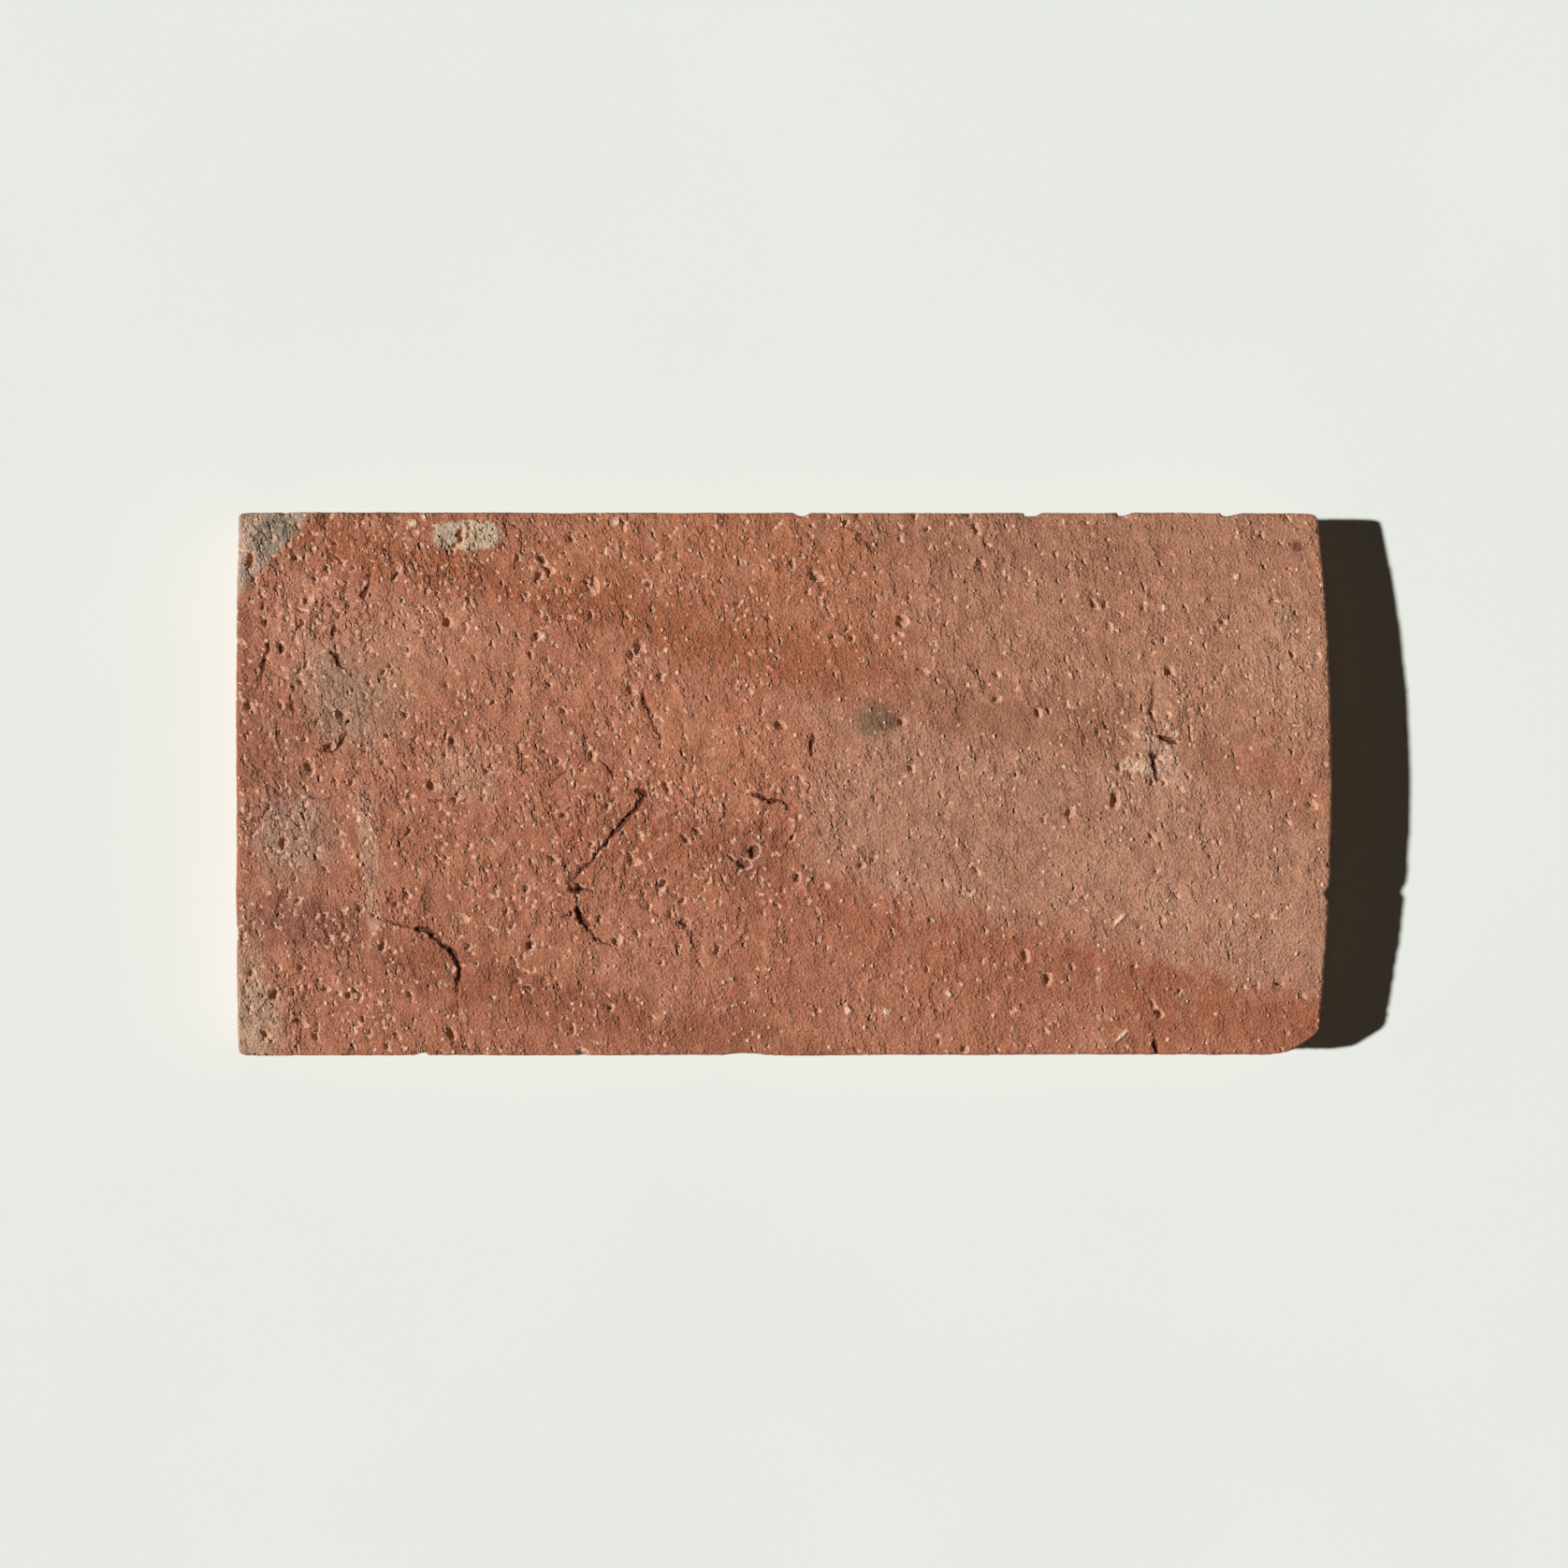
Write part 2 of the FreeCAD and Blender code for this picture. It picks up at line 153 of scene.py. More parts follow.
# Single pits of the face: middle, half length, half width, turn in degrees and depth
PITS = (
    ((-8.3, -18.4), 2.4, 1.9, 60, 2.1),
    ((-11, -21.8), 2.7, 1.4, -20, 2.0),
    ((2.2, -14.6), 1.8, 0.9, 60, 1.2),
    ((-27, -15), 2.3, 0.9, -50, 1.2),
    ((-23.6, -12.8), 1.6, 0.8, -40, 1.1),
    ((-34.5, -29.5), 1.5, 0.8, 90, 1.1),
    ((104.8, 7.3), 0.9, 0.7, 0, 1.0),
    ((-14, -20.5), 2.2, 0.8, -45, 1.2),
    ((3.6, -25.8), 1.9, 1.0, 80, 1.3),
    ((-35.6, -2.9), 1.5, 0.8, -20, 1.1),
    ((-48.6, -16.4), 1.6, 1.0, 60, 1.4),
    ((-51.6, -19), 1.3, 0.8, -30, 1.1),
    ((-32.4, -4), 1.3, 0.7, -30, 0.9),
    ((104, 39.5), 1.4, 0.8, 80, 1.1),
    ((84.8, 49.3), 2.2, 0.8, -55, 1.2),
    ((88.9, 43.4), 1.7, 0.7, -50, 1.0),
    ((120, 31.5), 1.5, 0.6, 80, 0.8),
    ((-137.3, 37.2), 2.1, 1.1, 95, 1.8),
    ((-125.2, 58.8), 1.3, 0.9, 90, 1.2),
    ((-133.5, 61.8), 1.2, 0.9, 60, 1.1),
    ((-106.2, 57), 1.8, 0.9, 70, 1.3),
    ((-103, 36.7), 1.4, 0.9, 100, 1.2),
    ((-99.8, 41.5), 1.1, 0.9, 90, 1.1),
    ((-67.7, 40.4), 1.7, 1.3, 90, 1.5),
    ((-69.3, 35.6), 1.2, 0.8, 90, 1.1),
    ((-103.6, 19), 1.5, 1.0, -60, 1.3),
    ((-104.1, 13.7), 1.1, 0.8, 90, 1.0),
    ((-129.2, 3.5), 2.0, 0.9, 60, 1.3),
    ((-70.4, 51.7), 1.2, 0.9, 80, 1.1),
    ((-66.1, 61.3), 2.1, 1.3, -60, 1.5),
    ((-64.3, 58.6), 1.7, 0.9, -50, 1.2),
    ((-58.1, 67.2), 1.9, 0.9, -45, 1.1),
    ((-37.2, 54.9), 1.6, 0.9, -60, 1.1),
    ((-41.5, 35.1), 2.3, 0.7, 100, 1.1),
    ((-42.6, 45.8), 1.6, 0.8, -60, 1.0),
    ((-70.4, -28.6), 1.3, 1.0, 90, 1.2),
    ((-69.3, -44.1), 1.8, 1.1, 90, 1.4),
    ((-86.4, -44.6), 1.3, 1.0, 60, 1.2),
    ((-69.9, -55.9), 1.7, 1.0, -60, 1.2),
    ((-73.6, -48.4), 1.8, 0.6, -60, 0.9),
    ((-116.4, -57.5), 2.1, 1.1, -50, 1.3),
    ((-102, -58), 2.1, 0.8, -60, 1.1),
    ((-115.9, -33.9), 1.4, 1.0, -60, 1.2),
    ((-47.4, -61.2), 1.4, 1.0, 60, 1.1),
    ((-146.4, -58.5), 0.9, 0.8, 0, 1.0),
    ((-142.6, -58), 1.2, 0.9, 70, 1.1),
    ((-140.2, -59.4), 0.8, 0.7, 0, 0.9),
    ((-133.5, -25.9), 1.1, 0.8, 80, 1.0),
    ((-136.2, -11.5), 1.2, 0.8, 60, 1.0),
    ((-120.7, -16.3), 1.3, 0.7, 100, 0.9),
    ((2.2, 60.4), 1.9, 0.9, 100, 1.1),
    ((24.5, 40.5), 1.1, 0.8, 0, 1.0),
    ((108.3, -56.8), 1.4, 0.9, 80, 1.1),
    ((101.2, -60.3), 1.8, 0.7, -55, 1.0),
    ((-88.9, 69.2), 0.7, 0.6, 0, 0.9),
    ((-86.2, 70.1), 0.7, 0.6, 0, 0.9),
    ((-90.8, 68.6), 0.5, 0.5, 0, 0.7),
    ((-82.6, 69.6), 0.6, 0.5, 0, 0.7),
)

# Large pale grits: middle, half width and height
GRITS = (
    ((-101.4, 71.5), 1.7, 0.75),
    ((-98.2, 73.0), 1.3, 0.7),
    ((-45.8, 72), 1.5, 0.75),
    ((124, 56.9), 1.2, 0.75),
    ((104.2, 48.1), 1.2, 0.75),
    ((17.5, -62), 1.4, 0.75),
    ((28, -62.6), 1.4, 0.75),
    ((45, -57.4), 1.1, 0.7),
    ((-65.6, 40.2), 1.4, 0.7),
    ((97.5, 5), 2.0, 0.65),
    ((94.2, 6.4), 1.4, 0.6),
    ((107, 13.6), 1.3, 0.7),
    ((104.6, 15.6), 1.3, 0.65),
    ((7, -26), 1.2, 0.65),
    ((-32.5, -28.8), 1.2, 0.65),
)

# Flecks of straw: path, half width and height
STRAWS = (
    (((89.8, -39), (93.6, -35.2)), 0.95, 0.85),
    (((90.7, -70.8), (94.8, -67.3)), 0.9, 0.85),
)

# Broad unevenness of the face: height, size of its lumps and seed
SWELLS = ((0.2, 55.0, 5), (0.14, 19.0, 6), (0.12, 8.0, 7))

# Parts of the face that are worn alike, as ovals: middle, reach and softness
TOP_LEFT_PART = ((-115, 62), (42, 13), 0.5)
MIDDLE_PART = ((-30, -12), (45, 32), 0.5)
CHIPPED_PART = ((101, 10), (12, 20), 0.6)
SMOOTH_PART = ((-101, 34), (13, 12), 0.6)
FOLDED_PARTS = (((-119, 38), (12, 30), 0.5), ((-139, 16), (10, 40), 0.5))
PRESSED_PART = ((-33, -28), (12, 11), 0.35)
PRESSED_DEPTH = 0.4

# Worn nicks in the arris: middle on the rim, half length and depth
NICKS = (
    ((5, 75), 2.2, 0.9),
    ((68.5, 75), 2.6, 1.2),
    ((94, 75), 2.0, 0.9),
    ((123.5, 75), 2.4, 1.0),
    ((-100, -75), 1.8, 0.7),
    ((-10, -75), 6.0, 0.6),
    ((150, -30), 2.0, 0.9),
    ((148, -57), 1.8, 0.9),
)


def fade(value, start, stop):
    """Eases from 0 at start to 1 at stop."""
    share = np.clip((value - start) / (stop - start), 0.0, 1.0)
    return share * share * (3.0 - 2.0 * share)


def cell_draws(cells, salt, table):
    """The same draws every time for each whole-numbered cell."""
    key = np.full(len(cells), salt * SEED_MIX)
    for column, mix in zip(cells.T, PLACE_MIX):
        key = key + column * mix
    key = (key ^ (key >> 13)) * KEY_MIX
    key = key ^ (key >> 15)
    return table[key & (len(table) - 1)]


def lumps(points, size, salt):
    """Smooth unevenness between about -1 and 1, in lumps of the given size."""
    place = points / size
    cell = np.floor(place).astype(np.int64)
    inside = place - cell
    ease = inside ** 3 * (inside * (inside * 6.0 - 15.0) + 10.0)
    total = np.zeros(len(points))
    for corner in itertools.product((0, 1), repeat=3):
        lean = cell_draws(cell + np.array(corner), salt, LEANS)
        reach = ((inside - np.array(corner)) * lean).sum(axis=1)
        weight = np.where(np.array(corner) == 1, ease, 1.0 - ease).prod(axis=1)
        total += reach * weight
    return total * 1.5


def scattered(place, spacing, salt):
    """For each neighbouring cell, the way from its mark to every point, and the mark's draws."""
    cell = np.floor(place / spacing).astype(np.int64)
    for step in itertools.product((-1, 0, 1), repeat=2):
        beside = cell + np.array(step)
        draws = cell_draws(beside, salt, DRAWS)
        yield place - (beside + draws[:, :2]) * spacing, draws


def turned(offset, turn):
    """An offset measured along and across a direction."""
    along = offset[:, 0] * np.cos(turn) + offset[:, 1] * np.sin(turn)
    across = offset[:, 1] * np.cos(turn) - offset[:, 0] * np.sin(turn)
    return along, across


def pitting(place, spacing, salt, share, radii, depth, stretch):
    """Scattered open pits, longer up and down the face: how deep each point lies in one."""
    deepest = np.zeros(len(place))
    smallest, largest = radii
    for offset, draws in scattered(place, spacing, salt):
        radius = smallest + (largest - smallest) * draws[:, 2] ** 3
        turn = math.radians(DRAG_TURN) + (draws[:, 3] - 0.5) * 2.2
        along, across = turned(offset, turn)
        longer = 1.0 + (stretch - 1.0) * draws[:, 4]
        distance = np.hypot(along / (radius * longer), across / radius)
        bowl = np.clip(1.0 - distance * distance, 0.0, 1.0) * radius * depth * (0.7 + 0.6 * draws[:, 6])
        deepest = np.maximum(deepest, np.where(draws[:, 5] < share, bowl, 0.0))
    return deepest


def gritting(place, spacing, salt, share, radii, height, stretch):
    """Scattered hard grains and crumbs that stand out of the clay: how high each point lies on one."""
    highest = np.zeros(len(place))
    smallest, largest = radii
    for offset, draws in scattered(place, spacing, salt):
        radius = smallest + (largest - smallest) * draws[:, 2] ** 2
        turn = math.radians(DRAG_TURN) + (draws[:, 3] - 0.5) * 1.6
        along, across = turned(offset, turn)
        longer = 1.0 + (stretch - 1.0) * draws[:, 4]
        distance = np.hypot(along / (radius * longer), across / radius)
        grain = fade(distance, 1.0, 0.1) * radius * height * (0.5 + draws[:, 6])
        highest = np.maximum(highest, np.where(draws[:, 5] < share, grain, 0.0))
    return highest


def along_path(place, path):
    """Distance of every point from a path, and the share of the path's length at the nearest place."""
    corners = np.array(path, float)
    steps = corners[1:] - corners[:-1]
    lengths = np.hypot(steps[:, 0], steps[:, 1])
    nearest = np.full(len(place), np.inf)
    share = np.zeros(len(place))
    before = 0.0
    for corner, step, length in zip(corners[:-1], steps, lengths):
        part = np.clip(((place - corner) @ step) / (length * length), 0.0, 1.0)
        gap = place - corner - part[:, None] * step
        distance = np.hypot(gap[:, 0], gap[:, 1])
        closer = distance < nearest
        nearest = np.where(closer, distance, nearest)
        share = np.where(closer, (before + part * length) / lengths.sum(), share)
        before += length
    return nearest, share


def drawn_marks(place, marks, width=1.0):
    """Marks along drawn paths, fading at their ends: the size of the mark at each point."""
    width = np.broadcast_to(width, len(place))
    total = np.zeros(len(place))
    for path, half_width, size in marks:
        corners = np.array(path, float)
        margin = 3.0 * half_width
        near = np.all((place > corners.min(axis=0) - margin) & (place < corners.max(axis=0) + margin), axis=1)
        distance, share = along_path(place[near], path)
        ends = 0.35 + 0.65 * np.sin(np.pi * share) ** 0.6
        mark = fade(distance / (half_width * ends * width[near]), 1.0, 0.3) * size * ends
        total[near] = np.maximum(total[near], mark)
    return total


def single_pits(place):
    """The larger pits that are placed one by one."""
    deepest = np.zeros(len(place))
    for middle, half_length, half_width, degrees, depth in PITS:
        offset = place - np.array(middle)
        near = np.abs(offset).max(axis=1) < 1.2 * half_length
        along, across = turned(offset[near], math.radians(degrees))
        distance = np.hypot(along / half_length, across / half_width)
        deepest[near] = np.maximum(deepest[near], fade(distance, 1.15, 0.35) * depth)
    return deepest


def single_grits(place):
    """The large pale grits that are placed one by one, and the straw."""
    highest = drawn_marks(place, STRAWS)
    for middle, half_width, height in GRITS:
        offset = place - np.array(middle)
        near = np.abs(offset).max(axis=1) < 1.2 * half_width
        distance = np.hypot(offset[near, 0], offset[near, 1]) / half_width
        highest[near] = np.maximum(highest[near], fade(distance, 1.0, 0.4) * height)
    return highest


def patch(place, middle, reach, softness):
    """An oval part of the face, from 1 inside to 0 outside."""
    offset = (place - np.array(middle)) / np.array(reach)
    distance = np.hypot(offset[:, 0], offset[:, 1])
    return fade(distance, 1.0 + softness, 1.0 - softness)


def swung(flat, size, seed):
    """Swings of the points to either side along and across the face, in lumps of the given size."""
    return np.column_stack((lumps(flat, size, seed), lumps(flat, size, seed + 1)))


def face_roughness(place, middle, chipped, slow):
    """How rough each point of the face is, from 0 to about 1.2."""
    left = fade(place[:, 0], -20.0, -110.0)
    upper = fade(place[:, 1], 20.0, 65.0) * fade(place[:, 0], 80.0, 20.0)
    top_left = patch(slow, *TOP_LEFT_PART)
    rough = 0.14 + 0.54 * left + 0.35 * upper + 0.5 * middle + 0.7 * chipped + 0.4 * top_left
    return np.clip(rough, 0.0, 1.2) * (1.0 - 0.6 * patch(slow, *SMOOTH_PART))


def broad_relief(place, flat, slow, rough):
    """The face's gentle swells, its dragged grain, its flakes and the hollow pressed into it."""
    height = np.zeros(len(place))
    for swell, size, seed in SWELLS:
        height += swell * lumps(flat, size, seed)
    height += (0.4 + 0.6 * rough) * 0.12 * lumps(along_drag(place), 3.4, 8)
    flakes = lumps(np.column_stack((slow, np.zeros(len(place)))), 6.0, 18)
    height += (0.2 + 0.8 * rough) * 0.26 * (fade(flakes, 0.02, 0.08) + fade(flakes, 0.3, 0.36))
    return height - PRESSED_DEPTH * patch(place, *PRESSED_PART)


def opened_cracks(flat, slow, ragged, swing, middle, chipped):
    """How deep each point lies in a crack, a fold or a crease."""
    folds = lumps(slow_fold(ragged + 0.4 * swing, flat), 7.0, 11)
    wrinkled = np.maximum(chipped, 0.8 * middle)
    for part in FOLDED_PARTS:
        wrinkled = np.maximum(wrinkled, patch(slow, *part))
    creases = fade(np.abs(folds), 0.12, 0.01) * fade(lumps(flat, 3.2, 12), -0.05, 0.25) * wrinkled
    broken = ragged + 0.7 * swung(flat, 4.5, 28)
    width = 1.2 + 0.7 * lumps(flat, 2.8, 30)
    opened = fade(lumps(flat, 3.6, 19), -0.15, 0.2)
    cracks = np.maximum(drawn_marks(broken, CRACKS, width), opened * drawn_marks(broken, FOLDS, width))
    return np.maximum(cracks, 0.45 * creases)


def worn_face(place):
    """Relief of the worn face: its height, and its pits, holes, cracks, grits and roughness at each point."""
    flat = np.column_stack((place, np.zeros(len(place))))
    swing = swung(flat, 1.5, 1)
    ragged = place + 0.6 * swing
    slow = place + 2.5 * swung(flat, 14.0, 3)
    middle = patch(slow, *MIDDLE_PART)
    chipped = patch(slow, *CHIPPED_PART)
    rough = face_roughness(place, middle, chipped, slow)

    clusters = fade(lumps(flat, 17.0, 26) + 0.7 * lumps(flat, 7.0, 27), -0.4, 0.5)
    strewn = (0.02 + 0.5 * rough) * (0.25 + 1.5 * clusters)
    big = pitting(ragged, 6.5, 13, 0.9 * strewn, (0.6, 1.5), 1.4, 2.0)
    small = pitting(ragged, 3.0, 14, 1.15 * strewn, (0.42, 0.8), 1.6, 2.2)
    holes = single_pits(ragged)
    pits = np.maximum(np.maximum(big, small), holes)
    crumbs = gritting(ragged, 3.6, 15, 0.12 + 0.45 * strewn, (0.34, 0.65), 0.9, 2.6)
    grains = gritting(ragged, 10.0, 16, 0.5, (0.45, 0.9), 0.7, 1.4)
    grits = np.maximum(np.maximum(crumbs, grains), single_grits(ragged))
    cracks = opened_cracks(flat, slow, ragged, swing, middle, chipped)

    height = broad_relief(place, flat, slow, rough)
    height += grits + drawn_marks(ragged, RIDGES)
    height -= pits + cracks
    return height, np.column_stack((pits, holes, cracks, grits, rough))


def along_drag(place):
    """Points pulled so that the clay's grain runs the way that the face was struck off."""
    offset = np.column_stack(turned(place, math.radians(DRAG_TURN)))
    return np.column_stack((offset[:, 0] * DRAG_STRETCH, offset[:, 1], np.zeros(len(place))))


def slow_fold(place, flat):
    """Points pulled so that folds in the clay run mostly up and down the face."""
    sway = 6.0 * lumps(flat, 24.0, 17)
    return np.column_stack((place[:, 0] * 1.5 + sway, place[:, 1] * 0.55, np.zeros(len(place))))


def rim_wear(rim, level):
    """How far the sides lie inside the full outline: rough, wavy, and nicked at the arris."""
    points = np.column_stack((rim, level))
    rough_end = fade(rim[:, 0], 100.0, 148.0) * fade(rim[:, 1], 5.0, -25.0)
    wear = 0.25 + 0.2 * lumps(points, 34.0, 21) + 0.1 * lumps(points, 9.0, 22)
    wear += (0.1 + 0.22 * rough_end) * (0.6 + lumps(points, 2.6, 23))
    wear += 0.05 * lumps(points, 1.2, 24)
    for middle, half_length, depth in NICKS:
        offset = rim - np.array(middle)
        distance = np.hypot(offset[:, 0], offset[:, 1]) / half_length
        wear += depth * fade(distance + 0.25 * lumps(points, 1.8, 25), 1.2, 0.2) * fade(level, 14.0, 23.0)
    return np.clip(wear, 0.0, None)


def outline_share(rim, wear):
    """How far out the tile's outline lies on the way from the middle to the block's rim."""
    bowed = HALF_LENGTH - END_BOW * (rim[:, 1] / HALF_WIDTH) ** 2
    pulls = (
        -rim[:, 0] / (HALF_LENGTH - wear),
        rim[:, 0] / (bowed - wear),
        rim[:, 1] / (HALF_WIDTH - wear),
        -rim[:, 1] / (HALF_WIDTH - wear),
        (rim @ BREAK_NORMAL) / (BREAK_REACH - wear),
    )
    total = np.zeros(len(rim))
    for pull in pulls:
        total += np.maximum(pull, 0.0) ** CORNER_SHARPNESS
    return total ** (-1.0 / CORNER_SHARPNESS)


def edge_gap(place, wear):
    """Distance of each point of the face from the tile's outline."""
    bowed = HALF_LENGTH - END_BOW * (place[:, 1] / HALF_WIDTH) ** 2
    gaps = (
        HALF_LENGTH + place[:, 0],
        bowed - place[:, 0],
        HALF_WIDTH - place[:, 1],
        HALF_WIDTH + place[:, 1],
        BREAK_REACH - place @ BREAK_NORMAL,
    )
    return np.maximum(np.minimum.reduce(gaps) - wear, 0.0)


def rounding(gap, radius):
    """How far a rounded edge lies below the flat, at a distance from the edge."""
    inside = np.clip(radius - gap, 0.0, radius)
    return radius - np.sqrt(radius * radius - inside * inside)


def crown_level(place):
    """Height of the cambered face before any wear."""
    along = (place[:, 0] / HALF_LENGTH + 1.0) / 2.0
    camber = LEFT_CAMBER + (RIGHT_CAMBER - LEFT_CAMBER) * along
    return CROWN - CROWN_ALLOWANCE - camber * (place[:, 1] / HALF_WIDTH) ** 2


def lies_along(edge, axis):
    """Whether an edge of the block runs along one axis."""
    run = edge.verts[1].co - edge.verts[0].co
    return abs(run[axis]) > TINY


def clay_block():
    """A block cut into small faces, with the finest on top."""
    block = bmesh.new()
    bmesh.ops.create_cube(block, size=2.0)
    for axis, cuts in enumerate((LENGTH_CUTS, WIDTH_CUTS, HEIGHT_CUTS)):
        edges = [edge for edge in block.edges if lies_along(edge, axis)]
        bmesh.ops.subdivide_edges(block, edges=edges, cuts=cuts)
    top = [edge for edge in block.edges if min(point.co.z for point in edge.verts) > ON_FACE]
    bmesh.ops.subdivide_edges(block, edges=top, cuts=TOP_CUTS, use_grid_fill=True)
    bmesh.ops.triangulate(block, faces=block.faces[:])
    mesh = bpy.data.meshes.new("floor_tile_clay")
    block.to_mesh(mesh)
    block.free()
    return mesh


def shape_tile(mesh):
    """Moves the block's points into the worn tile, and keeps the marks and the roughness of each point."""
    unit = np.empty(len(mesh.vertices) * 3)
    mesh.vertices.foreach_get("co", unit)
    unit = unit.reshape(-1, 3)
    on_top = unit[:, 2] > ON_FACE
    on_bed = unit[:, 2] < -ON_FACE
    ring = np.abs(unit[:, :2]).max(axis=1)
    plan = unit[:, :2] * np.array((HALF_LENGTH, HALF_WIDTH))
    rim = plan / np.maximum(ring, TINY)[:, None]
    up = (unit[:, 2] + 1.0) / 2.0
    level = BED_ROUND + up * (crown_level(rim) - ARRIS_ROUND - BED_ROUND)

    wear = np.zeros(len(unit))
    outer = ring > RIM_START
    wear[outer] = rim_wear(rim[outer], level[outer])
    share = np.ones(len(unit))
    share[outer] = outline_share(rim[outer], wear[outer])
    place = plan * (1.0 + (share - 1.0) * ring ** RIM_GRIP)[:, None]

    height = np.zeros(len(unit))
    marks = np.zeros((len(unit), len(MARK_NAMES)))
    marks[:, MARK_NAMES.index("rough")] = SIDE_ROUGHNESS
    relief, marks[on_top] = worn_face(place[on_top])
    gap = edge_gap(place, wear * ring ** RIM_GRIP)
    height[on_top] = crown_level(place[on_top]) + relief - rounding(gap[on_top], ARRIS_ROUND)

    bed_points = np.column_stack((place, level))[on_bed]
    sanded = 0.25 + 0.22 * lumps(bed_points, 26.0, 31) + 0.16 * lumps(bed_points, 4.5, 32)
    bed_pits = pitting(place[on_bed], 7.0, 33, 0.6, (0.6, 1.8), 0.6, 1.8)
    height[on_bed] = np.maximum(sanded, 0.0) + bed_pits + rounding(gap[on_bed], BED_ROUND)
    marks[on_bed, MARK_NAMES.index("pit")] = bed_pits

    on_side = ~(on_top | on_bed)
    height[on_side] = level[on_side]
    lean = (CROWN - height) * SIDE_LEAN
    place = place * (1.0 - lean[:, None] / np.array((HALF_LENGTH, HALF_WIDTH)))

    excess = np.maximum(height - (CROWN - HIGHEST_RELIEF), 0.0)
    height = height - excess + HIGHEST_RELIEF * (1.0 - np.exp(-excess / HIGHEST_RELIEF))
    final = np.column_stack((place, np.clip(height, 0.0, CROWN - CROWN_CLEARANCE))) * MM
    mesh.vertices.foreach_set("co", final.ravel())
    for column, name in enumerate(MARK_NAMES):
        attribute = mesh.attributes.new(name, "FLOAT", "POINT")
        attribute.data.foreach_set("value", marks[:, column])
    mesh.update()


def thinned(piece, most):
    """The piece's mesh with flat stretches made of fewer triangles."""
    thin = piece.modifiers.new("thin", "DECIMATE")
    thin.ratio = min(1.0, most / len(piece.data.polygons))
    ready = piece.evaluated_get(bpy.context.evaluated_depsgraph_get())
    mesh = bpy.data.meshes.new_from_object(ready)
    piece.modifiers.clear()
    piece.data = mesh


def make_tile(material):
    """The whole tile, as one piece of fired clay."""
    mesh = clay_block()
    shape_tile(mesh)
    tile = bpy.data.objects.new("tile_clay", mesh)
    bpy.context.scene.collection.objects.link(tile)
    thinned(tile, MOST_TRIANGLES)
    tile.data.materials.clear()
    tile.data.materials.append(material)
    tile.data.polygons.foreach_set("use_smooth", [True] * len(tile.data.polygons))
    tile.data.update()
    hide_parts("floor_tile")
    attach(tile, "root")


def placed(tree, group, inputs):
    """A node group placed in a material, with its own values."""
    return node(tree, "ShaderNodeGroup", inputs, node_tree=group).outputs["Mask"]


def node(tree, kind, inputs=None, **settings):
    """Adds a node, with its settings, and its inputs as values or as links from other nodes."""
    made = tree.nodes.new(kind)
    for name, value in settings.items():
        setattr(made, name, value)
    for name, value in (inputs or {}).items():
        if isinstance(value, bpy.types.NodeSocket):
            tree.links.new(value, made.inputs[name])
        else:
            made.inputs[name].default_value = value
    return made


def mixed(tree, share, first, second, blend_type="MIX"):
    """A colour mixed from two others."""
    made = node(tree, "ShaderNodeMix", data_type="RGBA", blend_type=blend_type)
    for index, value in ((0, share), (6, first), (7, second)):
        if isinstance(value, bpy.types.NodeSocket):
            tree.links.new(value, made.inputs[index])
        elif index == 0:
            made.inputs[index].default_value = value
        else:
            made.inputs[index].default_value = (*value, 1.0)
    return made.outputs[2]


def sums(tree, operation, first, second, third=0.0):
    """A number worked out from two or three others."""
    return node(tree, "ShaderNodeMath", {0: first, 1: second, 2: third}, operation=operation).outputs[0]


def ranged(tree, value, start, stop, low=0.0, high=1.0):
    """A value eased from one range into another."""
    inputs = {"Value": value, "From Min": start, "From Max": stop, "To Min": low, "To Max": high}
    return node(tree, "ShaderNodeMapRange", inputs, interpolation_type="SMOOTHSTEP").outputs["Result"]


def noise(tree, place, size, detail=2.0, roughness=0.5):
    """Noise with lumps of a size in millimetres."""
    inputs = {"Vector": place, "Scale": 1.0 / size, "Detail": detail, "Roughness": roughness}
    return node(tree, "ShaderNodeTexNoise", inputs)


def stain_group():
    """An oval or square stain on the face, given in millimetres, as a mask with a soft edge."""
    group = bpy.data.node_groups.new("clay_stain", "ShaderNodeTree")
    sockets = (
        ("Place", "NodeSocketVector"),
        ("Middle", "NodeSocketVector"),
        ("Reach", "NodeSocketVector"),
        ("Turn", "NodeSocketVector"),
        ("Inner", "NodeSocketFloat"),
        ("Outer", "NodeSocketFloat"),
        ("Squareness", "NodeSocketFloat"),
        ("Strength", "NodeSocketFloat"),
    )
    for name, kind in sockets:
        group.interface.new_socket(name, in_out="INPUT", socket_type=kind)
    group.interface.new_socket("Mask", in_out="OUTPUT", socket_type="NodeSocketFloat")
    given = node(group, "NodeGroupInput").outputs
    offset_inputs = {
        "Vector": given["Place"],
        "Location": given["Middle"],
        "Rotation": given["Turn"],
        "Scale": given["Reach"],
    }
    offset = node(group, "ShaderNodeMapping", offset_inputs, vector_type="TEXTURE").outputs[0]
    round_distance = node(group, "ShaderNodeVectorMath", {0: offset}, operation="LENGTH").outputs["Value"]
    sides = node(group, "ShaderNodeVectorMath", {0: offset}, operation="ABSOLUTE").outputs[0]
    apart = node(group, "ShaderNodeSeparateXYZ", {0: sides}).outputs
    square_distance = sums(group, "MAXIMUM", apart[0], apart[1])
    excess = sums(group, "SUBTRACT", square_distance, round_distance)
    distance = sums(group, "MULTIPLY_ADD", excess, given["Squareness"], round_distance)
    mask = ranged(group, distance, given["Outer"], given["Inner"])
    strong = sums(group, "MULTIPLY", mask, given["Strength"])
    node(group, "NodeGroupOutput", {"Mask": strong})
    return group


